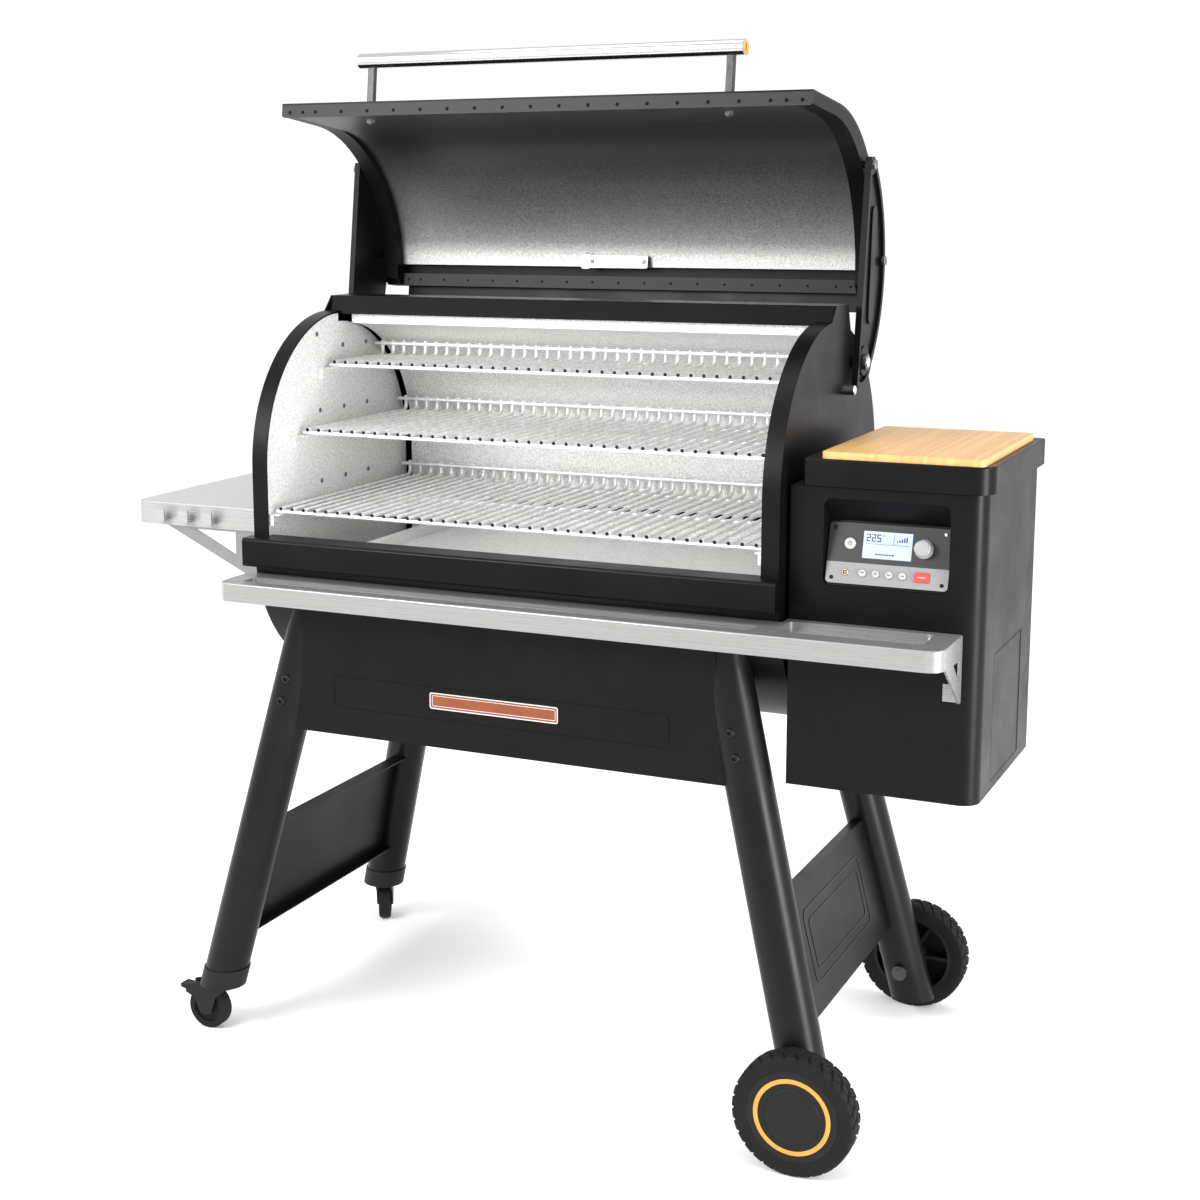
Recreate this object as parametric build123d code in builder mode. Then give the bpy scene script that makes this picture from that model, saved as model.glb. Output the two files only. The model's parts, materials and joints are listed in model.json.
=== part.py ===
"""Pellet smoker grill on a splayed four-legged cart, lid open, every piece its own node.

Millimetres. +X runs to the pellet hopper, +Y to the back, +Z up. The origin is on the ground,
under the middle of the whole grill. The lid is drawn closed and turned open about its pivots.
"""
import os
from math import atan, cos, radians, sin, sqrt

from build123d import *

os.makedirs("parts", exist_ok=True)

# Sheet metal
SHEET = 3.0
LINER_SHEET = 2.0

# Barrel, seen from the end: an upright stadium, open at the front between the lip and the ridge
BARREL_R = 250.0
LOW_ARC_Z = 865.0
TOP_ARC_Z = 992.0
BARREL_HALF = 460.0
RIM_WIDTH = 28.0
LIP_TOP_Z = 880.0
SHELL_HALF = BARREL_HALF - SHEET
LINER_INSET = 20.0
LINER_HALF = 423.0
END_LINER_X = 437.0

# Ridge along the top, which the lid's rear edge closes on
RIDGE_BACK_Y = 75.0
RIDGE_TOP_Z = 1267.0
RIDGE_BOTTOM_Z = 1236.0
RIDGE_FRONT = [(-2.0, RIDGE_BOTTOM_Z), (13.0, RIDGE_TOP_Z)]

# Front lip bar and front shelf
LIP_FRONT_Y = -280.0
LIP_BOTTOM_Z = 832.0
LIP_HALF = 465.0
SHELF_LEFT_X = -473.0
SHELF_RIGHT_X = 728.0
SHELF_FRONT_Y = -342.0
SHELF_TOP_Z = 816.0
SHELF_SKIRT_Z = 785.0
SHELF_CORNER = 26.0
RECESS_DEPTH = 12.0

# Side shelf
SIDE_LEFT_X = -764.0
SIDE_FRONT_Y = -168.0
SIDE_BACK_Y = 210.0
SIDE_TOP_Z = 909.0
SIDE_SKIRT = 40.0
HOOK_X = [-700.0, -650.0, -600.0]

# Lid, drawn closed
PIVOT_Y = 115.0
PIVOT_Z = 1172.0
LID_TRAVEL = 96.7
LID_ARC_Z = 1017.0
LID_OUTER_R = 273.0
LID_INNER_R = 250.0
LID_BOTTOM_Z = 881.5
LID_LIP_Y = 30.0
REAR_FLANGE_Z = 1264.0
REAR_FLANGE_Y = -22.0
RIM_GAP = 2.0
ARM_X = 466.0
ARM_THICK = 10.0
ARM_FRONT = [(80.0, 1137.0), (131.0, 1497.0), (150.0, 1497.0)]
ARM_BACK = (224.0, 1330.0)
ARM_FOOT = (156.0, 1164.0)
ARM_BOLTS = [(141.0, 1485.0), (209.0, 1330.0)]
ARM_BOLT_R = 6.0
PIVOT_R = 8.0
RUNNING = 0.05

# Handle
HANDLE_Z = 925.0
HANDLE_REACH = 73.0
HANDLE_Y = -LID_OUTER_R - HANDLE_REACH
HANDLE_HALF = 336.0
HANDLE_POST_X = 314.0
HANDLE_CAP = 16.0
HANDLE_DEPTH = 24.0
HANDLE_HEIGHT = 30.0
HANDLE_BOLT_R = 4.0

# Legs, wheels and casters
LEG_R = 37.0
LEG_WALL = 2.5
LEG_Z = 560.0
LEG_X = 414.0
LEG_Y = 237.0
LEAN_X = 0.25
LEAN_Y = 0.0915
LEG_TOP_Z = 782.0
LEFT_LEG_END_Z = 90.0
RIGHT_LEG_END_Z = 38.0
BRACE_LOW_Z = 175.0
BRACE_HIGH_Z = 372.0
WHEEL_X = 531.0
WHEEL_R = 95.0
WHEEL_OUT_Y = 362.0
WHEEL_IN_Y = 320.0
TYRE_BORE = 70.0
AXLE_R = 8.0
CASTER_R = 38.0
CASTER_TRAIL = 29.0
STEM_R = 5.5
CASTER_TURNS = {"front": (-1, 180.0), "rear": (1, 116.0)}
FORK_TOP_Z = 84.0
LEVER_AT = (64.0, 68.0)
CASTER_X = -532.0
CASTER_Y = 280.0
CAP_BOTTOM_Z = 86.0
CAP_TOP_Z = 119.0

# Apron panels between the legs, under the shelf
APRON_Y = 255.0
APRON_LOW_Z = 556.0

# Hopper
HOPPER_X = (467.0, 755.0)
HOPPER_Y = (-221.0, 135.0)
HOPPER_Z = (561.0, 1018.0)
HOPPER_EDGE_R = 28.0
LID_BOX_X = (487.0, 764.0)
LID_BOX_Y = (-229.0, 143.0)
LID_BOX_Z = (1020.0, 1060.0)
HOPPER_HINGE_Y = 148.0
HOPPER_HINGE_Z = 1020.0
BOARD_X = (513.0, 752.0)
BOARD_Y = (-225.0, 113.0)
BOARD_THICK = 11.0
DOOR_Y = (-132.0, 55.0)
DOOR_Z = (577.0, 770.0)
DOOR_HINGE_Y = 52.0
DOOR_HINGE_X = 753.0
DOOR_PIN_R = 1.2
DOOR_GAP = 1.2
INLET_DEPTH = 24.0

# Controller recess in the hopper's front, and its tilted panel
RECESS_X = (518.0, 705.0)
RECESS_TOP_Z = 1002.0
RECESS_CORNER = 12.0
PANEL_FOOT = (-216.0, 872.0)
PANEL_HEAD = (-191.0, 966.0)
PANEL_WIDTH = 182.0
PANEL_HEIGHT = 90.0
PANEL_THICK = 4.0
PANEL_X = 612.0
HOUSING_SIZE = (166.0, 76.0)
HOUSING_DEPTH = 22.0
BUTTON_PROUD = 2.5
BUTTON_SINK = 6.0
POCKET_DEPTH = 9.0
BUTTON_GAP = 0.35
POWER_AT = (-58.0, 14.5)
POWER_R = 8.5
KNOB_AT = (52.0, 13.5)
KNOB_R = 14.0
KNOB_HEIGHT = 15.0
KNOB_SHAFT_R = 3.0
MENU_X = [-36.0, -16.0, 4.0, 24.0]
MENU_R = 5.5
BUTTON_ROW = -28.0
IGNITE_X = 52.0
IGNITE_SIZE = (22.0, 14.0)
DISPLAY_AT = (-2.5, 14.5)
DISPLAY_SIZE = (73.0, 40.0)

# Cooking grates, bottom to top: centre height of the rods, front end, back end
GRATES = {
    "bottom": (925.0, -231.0, 212.0),
    "middle": (1048.0, -142.0, 200.0),
    "top": (1156.0, -50.0, 118.0),
}
ROD_R = 3.2
ROD_PITCH = 22.0
ROD_COUNT = 39
GRATE_HALF = 431.0
BEND_R = 10.0
BACKSTOP = 26.0
CROSS_DROP = 5.9
RAIL_GAP = 0.4
RAIL_DEPTH = 18.0
RAIL_LEAD = 28.0
RAIL_LIMIT_Y = -244.0
RAIL_SHELF = 19.0

# Firing parts under the drip tray
AUGER_Z = 690.0
AUGER_TUBE_R = 24.0
AUGER_R = 18.0
AUGER_SHAFT_R = 6.0
AUGER_START_X = 60.0
AUGER_END_X = 640.0
POT_R = 55.0
POT_FLOOR_Z = 652.0
POT_TOP_Z = 749.0
TRAY_Z = 845.0
TRAY_LEFT_X = -290.0
TRAY_RIGHT_X = 428.0
TRAY_HALF_Y = 226.0
TRAY_EDGE = 15.0
FLIGHT_TURNS = 9
DUCT_HALF = 380.0
DUCT_Y = 300.0
DUCT_LOW_Z = 797.0
BIN_TOP = ((504.0, -172.0), (736.0, 114.0))
BIN_THROAT = ((520.0, -20.0), (610.0, 20.0))
BIN_Z = (716.0, 860.0, 1016.0)
BLOWER_AT = (690.0, 625.0)
BLOWER_Y = (50.0, 100.0)
BLOWER_R = 52.0
IMPELLER_R = 40.0


def block(low, high, mode=Mode.ADD):
    """Box between two opposite corners, in the part being built."""
    size = [top - bottom for bottom, top in zip(low, high)]
    centre = [(top + bottom) / 2 for bottom, top in zip(low, high)]
    with Locations(tuple(centre)):
        Box(*size, mode=mode)


def rod(start, end, radius, mode=Mode.ADD):
    """Round bar between two points, in the part being built."""
    along = Vector(*end) - Vector(*start)
    with Locations(Plane(origin=start, z_dir=along).location):
        Cylinder(radius, along.length, align=(Align.CENTER, Align.CENTER, Align.MIN), mode=mode)


def area(low, high, mode=Mode.ADD):
    """Rectangle between two opposite corners, in the sketch being drawn."""
    with Locations(((low[0] + high[0]) / 2, (low[1] + high[1]) / 2)):
        Rectangle(high[0] - low[0], high[1] - low[1], mode=mode)


def outline(points, mode=Mode.ADD):
    """Filled polygon through the points, in the sketch being drawn."""
    Polygon(*points, align=None, mode=mode)


def barrel_section(inset, mode=Mode.ADD):
    """The barrel's end view, shrunk all round by the inset."""
    with Locations((0, (LOW_ARC_Z + TOP_ARC_Z) / 2)):
        SlotCenterToCenter(TOP_ARC_Z - LOW_ARC_Z, 2 * (BARREL_R - inset), rotation=90, mode=mode)


def lid_section(radius, arc_z, mode=Mode.ADD):
    """Everything under an arch: a half disc about the arc's centre on a wide base."""
    with Locations((0, arc_z)):
        Circle(radius, mode=mode)
    area((-radius, LID_BOTTOM_Z), (radius, arc_z), mode=mode)


# The lid is drawn closed, and this turns it open about the pivots
OPENING = Pos(0, PIVOT_Y, PIVOT_Z) * Rot(-LID_TRAVEL, 0, 0) * Pos(0, -PIVOT_Y, -PIVOT_Z)


def on_lid(plane):
    """A plane of the closed lid, where it stands on the open one."""
    return Plane(OPENING * plane.location)


def save(built, name):
    """Label a finished piece and write it to its own file."""
    built.part.label = name
    export_step(built.part, f"parts/{name}.step")


# ---------------------------------------------------------------- barrel

with BuildPart() as barrel_shell:
    with BuildSketch(Plane.YZ.offset(-SHELL_HALF)):
        barrel_section(0)
        barrel_section(SHEET, mode=Mode.SUBTRACT)
        area((-BARREL_R - 50, LIP_TOP_Z - SHEET), (RIDGE_BACK_Y, 1300), mode=Mode.SUBTRACT)
    extrude(amount=2 * SHELL_HALF)
    # A row of slots lets the smoke out into the duct behind
    with Locations(*[(x, BARREL_R, LIP_TOP_Z) for x in range(-320, 321, 64)]):
        Box(44, 40, 14, mode=Mode.SUBTRACT)
save(barrel_shell, "barrel_shell")

RIDGE_END = [(-13.0, 1240.0), (12.0, RIDGE_TOP_Z), (RIDGE_BACK_Y, RIDGE_TOP_Z), (92.0, 1222.0)]

with BuildPart() as end_panels:
    for side in (-1, 1):
        with BuildSketch(Plane.YZ.offset(side * SHELL_HALF)):
            barrel_section(0)
            outline(RIDGE_END + [(0.0, 1200.0)])
        extrude(amount=side * SHEET)
        # The rim turns inward along the front opening only
        with BuildSketch(Plane.YZ.offset(side * SHELL_HALF)):
            barrel_section(0)
            barrel_section(SHEET, mode=Mode.SUBTRACT)
            area((-BARREL_R - 50, LIP_TOP_Z), (-2.0, 1300), mode=Mode.INTERSECT)
        extrude(amount=-side * (RIM_WIDTH - SHEET))
    rod((SHELL_HALF - 5, 0, AUGER_Z), (BARREL_HALF + 5, 0, AUGER_Z), AUGER_TUBE_R + 0.5,
        mode=Mode.SUBTRACT)
save(end_panels, "end_panels")

with BuildPart() as barrel_liner:
    with BuildSketch(Plane.YZ.offset(-LINER_HALF)):
        barrel_section(LINER_INSET)
        barrel_section(LINER_INSET + LINER_SHEET, mode=Mode.SUBTRACT)
        area((-BARREL_R, LIP_TOP_Z - SHEET), (20.0, 1300), mode=Mode.SUBTRACT)
        # Turned-up top edge, which hangs from the ridge
        area((20.0, 1219.0), (22.0, RIDGE_BOTTOM_Z))
    extrude(amount=2 * LINER_HALF)
    with Locations(*[(x, BARREL_R - LINER_INSET, LIP_TOP_Z) for x in range(-320, 321, 64)]):
        Box(44, 20, 14, mode=Mode.SUBTRACT)
    # End liners: wide at the front rim, shorter at the back
    for side in (-1, 1):
        with BuildSketch(Plane.YZ.offset(side * END_LINER_X)):
            barrel_section(19.0)
        extrude(amount=side * LINER_SHEET)
        with BuildSketch(Plane.YZ.offset(side * END_LINER_X)):
            barrel_section(5.0)
            area((-BARREL_R, 600.0), (-3.0, 1300.0), mode=Mode.INTERSECT)
        extrude(amount=side * LINER_SHEET)
    rod((END_LINER_X - 5, 0, AUGER_Z), (END_LINER_X + 7, 0, AUGER_Z), AUGER_TUBE_R + 0.5,
        mode=Mode.SUBTRACT)
save(barrel_liner, "barrel_liner")

with BuildPart() as top_ridge:
    ridge_outline = RIDGE_FRONT + [(RIDGE_BACK_Y, RIDGE_TOP_Z), (RIDGE_BACK_Y, 1225.0),
                                   (55.0, RIDGE_BOTTOM_Z)]
    with BuildSketch(Plane.YZ.offset(-SHELL_HALF)):
        outline(ridge_outline)
        offset(amount=-SHEET, kind=Kind.INTERSECTION, mode=Mode.SUBTRACT)
    extrude(amount=2 * SHELL_HALF)
save(top_ridge, "top_ridge")

with BuildPart() as front_lip:
    with BuildSketch(Plane.YZ.offset(-LIP_HALF)):
        area((LIP_FRONT_Y, LIP_BOTTOM_Z), (-BARREL_R, LIP_TOP_Z))
        fillet(vertices().group_by(Axis.X)[0], 5)
    extrude(amount=2 * LIP_HALF)
    block((-LIP_HALF + SHEET, LIP_FRONT_Y + SHEET, LIP_BOTTOM_Z + SHEET),
          (LIP_HALF - SHEET, -BARREL_R, LIP_TOP_Z - SHEET), mode=Mode.SUBTRACT)
    # Hem over the top edges of the shell and the liner
    block((-END_LINER_X + 1, -BARREL_R, LIP_TOP_Z - SHEET), (END_LINER_X - 1, -229.0, LIP_TOP_Z))
save(front_lip, "front_lip")

# ---------------------------------------------------------------- shelves

SHELF_PLAN = [(SHELF_LEFT_X, -246.0), (SHELF_LEFT_X, SHELF_FRONT_Y + 12),
              (SHELF_LEFT_X + 12, SHELF_FRONT_Y), (SHELF_RIGHT_X, SHELF_FRONT_Y),
              (SHELF_RIGHT_X, HOPPER_Y[0]), (466.0, HOPPER_Y[0]), (466.0, -246.0)]
SHELF_RECESSES = [((-440.0, -318.0), (440.0, -284.0), 6.0), ((474.0, -306.0), (692.0, -236.0), 12.0)]

with BuildPart() as front_shelf:
    with BuildSketch(Plane.XY.offset(SHELF_SKIRT_Z)) as shelf_plan:
        outline(SHELF_PLAN)
        corners = shelf_plan.vertices().sort_by_distance((SHELF_RIGHT_X, SHELF_FRONT_Y, SHELF_SKIRT_Z))
        fillet(corners[0], SHELF_CORNER)
    extrude(amount=SHELF_TOP_Z - SHELF_SKIRT_Z)
    fillet(front_shelf.edges().filter_by(Axis.X).group_by(Axis.Z)[-1].sort_by(Axis.Y)[0], 2.5)
    # The hollow under the top follows the rounded corner
    with BuildSketch(Plane.XY.offset(SHELF_SKIRT_Z)) as shelf_hollow:
        outline(SHELF_PLAN)
        offset(amount=-SHEET, kind=Kind.INTERSECTION)
        corners = shelf_hollow.vertices().sort_by_distance((SHELF_RIGHT_X, SHELF_FRONT_Y, SHELF_SKIRT_Z))
        fillet(corners[0], SHELF_CORNER - SHEET)
    extrude(amount=SHELF_TOP_Z - SHELF_SKIRT_Z - SHEET, mode=Mode.SUBTRACT)
    for low, high, corner in SHELF_RECESSES:
        middle = ((low[0] + high[0]) / 2, (low[1] + high[1]) / 2)
        width = high[0] - low[0]
        depth = high[1] - low[1]
        with BuildSketch(Plane.XY.offset(SHELF_TOP_Z)):
            with Locations(middle):
                RectangleRounded(width + 2 * SHEET, depth + 2 * SHEET, corner + SHEET)
        extrude(amount=-RECESS_DEPTH - SHEET)
        with BuildSketch(Plane.XY.offset(SHELF_TOP_Z)):
            with Locations(middle):
                RectangleRounded(width, depth, corner)
        extrude(amount=-RECESS_DEPTH, mode=Mode.SUBTRACT)
    # Gusset and foot at the right end, against the hopper's front
    with BuildSketch(Plane.YZ.offset(SHELF_RIGHT_X - SHEET)):
        outline([(-322.0, SHELF_SKIRT_Z + 2), (HOPPER_Y[0], SHELF_SKIRT_Z + 2),
                 (HOPPER_Y[0], 716.0), (-230.0, 716.0)])
        outline([(-272.0, 782.0), (-235.0, 782.0), (-235.0, 748.0)], mode=Mode.SUBTRACT)
    extrude(amount=SHEET)
    block((SHELF_RIGHT_X - 26, HOPPER_Y[0] - SHEET, 716.0), (SHELF_RIGHT_X, HOPPER_Y[0], 742.0))
save(front_shelf, "front_shelf")

with BuildPart() as side_shelf:
    with BuildSketch(Plane.XY.offset(SIDE_TOP_Z - SIDE_SKIRT)) as side_plan:
        area((SIDE_LEFT_X, SIDE_FRONT_Y), (-BARREL_HALF, SIDE_BACK_Y))
        fillet(side_plan.vertices().group_by(Axis.X)[0], 20)
    extrude(amount=SIDE_SKIRT)
    fillet(side_shelf.faces().sort_by(Axis.Z)[-1].edges().filter_by(Axis.X), 2.5)
    with BuildSketch(Plane.XY.offset(SIDE_TOP_Z - SIDE_SKIRT)) as side_hollow:
        area((SIDE_LEFT_X + SHEET, SIDE_FRONT_Y + SHEET), (-BARREL_HALF - SHEET, SIDE_BACK_Y - SHEET))
        fillet(side_hollow.vertices().group_by(Axis.X)[0], 17)
    extrude(amount=SIDE_SKIRT - SHEET, mode=Mode.SUBTRACT)
    # Tool hooks, bent from the front skirt
    for x in HOOK_X:
        block((x - 10, SIDE_FRONT_Y - 20, 878.0), (x + 10, SIDE_FRONT_Y + 1, 881.0))
        block((x - 10, SIDE_FRONT_Y - 20, 878.0), (x + 10, SIDE_FRONT_Y - 17, 900.0))
save(side_shelf, "side_shelf")

with BuildPart() as side_brackets:
    for y in (SIDE_FRONT_Y + SHEET, SIDE_BACK_Y - 2 * SHEET):
        with BuildSketch(Plane.XZ.offset(-y)):
            outline([(-700.0, 869.0), (-BARREL_HALF, 869.0), (-BARREL_HALF, 757.0)])
            area((-680.0, 868.0), (-480.0, 900.0))
            outline([(-640.0, 865.0), (-556.0, 865.0), (-556.0, 824.0)], mode=Mode.SUBTRACT)
        extrude(amount=-SHEET)
save(side_brackets, "side_brackets")

# ---------------------------------------------------------------- legs, braces, aprons


def leg_point(side_x, side_y, z):
    """Point on a leg's leaning centre line at a height."""
    drop = LEG_Z - z
    return (side_x * (LEG_X + drop * LEAN_X), side_y * (LEG_Y + drop * LEAN_Y), z)


LEG_SIDES = [(-1, -1), (-1, 1), (1, -1), (1, 1)]

with BuildPart() as leg_envelope:
    for side_x, side_y in LEG_SIDES:
        rod(leg_point(side_x, side_y, 0.0), leg_point(side_x, side_y, 830.0), LEG_R)

with BuildPart() as legs:
    add(leg_envelope.part)
    for side_x, side_y in LEG_SIDES:
        rod(leg_point(side_x, side_y, -10.0), leg_point(side_x, side_y, 840.0), LEG_R - LEG_WALL,
            mode=Mode.SUBTRACT)
    block((-700, -400, LEG_TOP_Z), (700, 400, 900), mode=Mode.SUBTRACT)
    block((-700, -400, -100), (0, 400, LEFT_LEG_END_Z), mode=Mode.SUBTRACT)
    # Plates that close the right-hand legs' feet
    for side_y in (-1, 1):
        rod(leg_point(1, side_y, RIGHT_LEG_END_Z - 20), leg_point(1, side_y, RIGHT_LEG_END_Z + SHEET),
            LEG_R - 1)
    block((0, -400, -100), (700, 400, RIGHT_LEG_END_Z), mode=Mode.SUBTRACT)
    with BuildSketch(Plane.YZ.offset(-BARREL_HALF)):
        barrel_section(-0.5)
    extrude(amount=2 * BARREL_HALF, mode=Mode.SUBTRACT)
    rod((WHEEL_X, -WHEEL_OUT_Y, WHEEL_R), (WHEEL_X, WHEEL_OUT_Y, WHEEL_R), AXLE_R, mode=Mode.SUBTRACT)
save(legs, "legs")

BRACE_MID_Z = (BRACE_LOW_Z + BRACE_HIGH_Z) / 2
BRACE_HEIGHT = (BRACE_HIGH_Z - BRACE_LOW_Z) * sqrt(1 + LEAN_X ** 2)
lean = atan(LEAN_X)
brace_plane = Plane(origin=(leg_point(1, 1, BRACE_MID_Z)[0], 0, BRACE_MID_Z), x_dir=(0, 1, 0),
                    z_dir=(cos(lean), 0, sin(lean)))

with BuildPart() as braces:
    with BuildSketch(brace_plane):
        Rectangle(500, BRACE_HEIGHT)
    extrude(amount=SHEET)
    with BuildSketch(brace_plane):
        for edge in (-1, 1):
            with Locations((0, edge * (BRACE_HEIGHT - SHEET) / 2)):
                Rectangle(500, SHEET)
    extrude(amount=-18)
    add(leg_envelope.part, mode=Mode.SUBTRACT)
    mirror(about=Plane.YZ)
save(braces, "braces")

with BuildPart() as aprons:
    with BuildSketch(Plane.XZ.offset(APRON_Y)):
        low_x = leg_point(1, 1, APRON_LOW_Z)[0]
        high_x = leg_point(1, 1, SHELF_SKIRT_Z)[0]
        outline([(-low_x, APRON_LOW_Z), (low_x, APRON_LOW_Z),
                 (high_x, SHELF_SKIRT_Z), (-high_x, SHELF_SKIRT_Z)])
    extrude(amount=SHEET)
    # Pressed frame round the badge
    with BuildSketch(Plane.XZ.offset(APRON_Y + SHEET)):
        with Locations((-6, 631)):
            RectangleRounded(600, 56, 10)
            RectangleRounded(594, 50, 7, mode=Mode.SUBTRACT)
    extrude(amount=-0.8, mode=Mode.SUBTRACT)
    block((-low_x, -APRON_Y, APRON_LOW_Z), (low_x, -APRON_Y + 22, APRON_LOW_Z + SHEET))
    add(leg_envelope.part, mode=Mode.SUBTRACT)
    mirror(about=Plane.XZ)
save(aprons, "aprons")

with BuildPart() as leg_bolts:
    for side_x, side_y in LEG_SIDES:
        for z in (643.0, 605.0):
            x, y, _ = leg_point(side_x, side_y, z)
            rod((x, y, z), (x, y + side_y * (LEG_R + 5), z), 8.0)
    add(leg_envelope.part, mode=Mode.SUBTRACT)
save(leg_bolts, "leg_bolts")

with BuildPart() as leg_caps:
    for side_y in (-1, 1):
        rod(leg_point(-1, side_y, 60.0), leg_point(-1, side_y, 140.0), LEG_R + 2)
        rod(leg_point(-1, side_y, 50.0), leg_point(-1, side_y, 150.0), LEG_R, mode=Mode.SUBTRACT)
    block((-700, -400, 0), (0, 400, CAP_BOTTOM_Z), mode=Mode.SUBTRACT)
    block((-700, -400, CAP_TOP_Z), (0, 400, 200), mode=Mode.SUBTRACT)
    for side_y in (-1, 1):
        caster_top = (CASTER_X, side_y * CASTER_Y)
        with BuildSketch(Plane.XY.offset(CAP_BOTTOM_Z)):
            with Locations(leg_point(-1, side_y, CAP_BOTTOM_Z)[:2]):
                Circle(LEG_R + 1.5)
        extrude(amount=LEFT_LEG_END_Z - CAP_BOTTOM_Z)
        rod((*caster_top, CAP_BOTTOM_Z), (*caster_top, 114.0), 11.0)
        rod((*caster_top, 80.0), (*caster_top, 112.0), STEM_R + RUNNING, mode=Mode.SUBTRACT)
save(leg_caps, "leg_caps")

# ---------------------------------------------------------------- lid

with BuildPart() as lid_skin:
    with BuildSketch(on_lid(Plane.YZ.offset(-BARREL_HALF))):
        lid_section(LID_OUTER_R, LID_ARC_Z)
        lid_section(LID_OUTER_R - SHEET, LID_ARC_Z, mode=Mode.SUBTRACT)
        area((-400, LID_BOTTOM_Z), (0, 1400), mode=Mode.INTERSECT)
    extrude(amount=2 * BARREL_HALF)
    # Rain lip over the ridge, short of the ends
    with BuildSketch(on_lid(Plane.YZ.offset(-BARREL_HALF + RIM_WIDTH))):
        area((-1, LID_ARC_Z + LID_OUTER_R - SHEET), (LID_LIP_Y, LID_ARC_Z + LID_OUTER_R))
    extrude(amount=2 * (BARREL_HALF - RIM_WIDTH))
    for x in (-HANDLE_POST_X, HANDLE_POST_X):
        with BuildSketch(on_lid(Plane.XZ.offset(LID_OUTER_R + 5))):
            with Locations((x, HANDLE_Z)):
                Circle(HANDLE_BOLT_R + 0.5)
        extrude(amount=-20, mode=Mode.SUBTRACT)
save(lid_skin, "lid_skin")

with BuildPart() as lid_liner:
    with BuildSketch(on_lid(Plane.YZ.offset(-BARREL_HALF + RIM_WIDTH))):
        lid_section(LID_INNER_R + LINER_SHEET, LID_ARC_Z)
        lid_section(LID_INNER_R, LID_ARC_Z, mode=Mode.SUBTRACT)
        area((-400, LID_BOTTOM_Z + SHEET), (REAR_FLANGE_Y, 1400), mode=Mode.INTERSECT)
        area((-400, REAR_FLANGE_Z), (400, 1400), mode=Mode.SUBTRACT)
    extrude(amount=2 * (BARREL_HALF - RIM_WIDTH))
    for x in (-HANDLE_POST_X, HANDLE_POST_X):
        with BuildSketch(on_lid(Plane.XZ.offset(LID_INNER_R + 5))):
            with Locations((x, HANDLE_Z)):
                Circle(HANDLE_BOLT_R + 0.5)
        extrude(amount=-20, mode=Mode.SUBTRACT)
save(lid_liner, "lid_liner")

# Room left at the top of the lid's ends for the ends of the ridge
RIDGE_CLEARANCE = [(-20.0, 1236.0), (11.0, 1269.5), (60.0, 1269.5), (60.0, 1236.0)]

with BuildPart() as lid_frame:
    # Bottom flange, and the flange that closes on the ridge
    with BuildSketch(on_lid(Plane.YZ.offset(-SHELL_HALF))):
        area((-LID_OUTER_R + SHEET, LID_BOTTOM_Z), (-LID_INNER_R, LID_BOTTOM_Z + SHEET))
        area((REAR_FLANGE_Y, REAR_FLANGE_Z), (0.0, REAR_FLANGE_Z + SHEET))
        area((-SHEET, REAR_FLANGE_Z), (0.0, LID_ARC_Z + LID_OUTER_R - SHEET - 0.3))
    extrude(amount=2 * SHELL_HALF)
    for side in (-1, 1):
        # End plate
        with BuildSketch(on_lid(Plane.YZ.offset(side * SHELL_HALF))):
            lid_section(LID_OUTER_R - SHEET, LID_ARC_Z)
            lid_section(BARREL_R + RIM_GAP, TOP_ARC_Z, mode=Mode.SUBTRACT)
            area((-400, LID_BOTTOM_Z), (0, 1400), mode=Mode.INTERSECT)
            outline(RIDGE_CLEARANCE, mode=Mode.SUBTRACT)
        extrude(amount=side * SHEET)
        # Side flange, which closes on the barrel's rim
        with BuildSketch(on_lid(Plane.YZ.offset(side * SHELL_HALF))):
            lid_section(BARREL_R + RIM_GAP + SHEET, TOP_ARC_Z)
            lid_section(BARREL_R + RIM_GAP, TOP_ARC_Z, mode=Mode.SUBTRACT)
            area((-400, LID_BOTTOM_Z), (0, 1400), mode=Mode.INTERSECT)
            outline(RIDGE_CLEARANCE, mode=Mode.SUBTRACT)
        extrude(amount=-side * (RIM_WIDTH - SHEET))
        # Wall from the side flange up to the liner
        with BuildSketch(on_lid(Plane.YZ.offset(side * (BARREL_HALF - RIM_WIDTH)))):
            lid_section(LID_OUTER_R - SHEET, LID_ARC_Z)
            lid_section(BARREL_R + RIM_GAP, TOP_ARC_Z, mode=Mode.SUBTRACT)
            area((-400, LID_BOTTOM_Z), (0, 1400), mode=Mode.INTERSECT)
            outline(RIDGE_CLEARANCE, mode=Mode.SUBTRACT)
        extrude(amount=side * SHEET)
save(lid_frame, "lid_frame")


def arm_section(inset, mode=Mode.ADD):
    """Side view of a hinge arm on the open lid, shrunk all round by the inset."""
    with BuildSketch(mode=Mode.PRIVATE) as shape:
        with BuildLine():
            Polyline(*ARM_FRONT)
            ThreePointArc(ARM_FRONT[-1], ARM_BACK, ARM_FOOT)
            ThreePointArc(ARM_FOOT, (118.0, 1133.0), ARM_FRONT[0])
        make_face()
        if inset:
            offset(amount=-inset, mode=Mode.REPLACE)
    add(shape.sketch, mode=mode)


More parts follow.
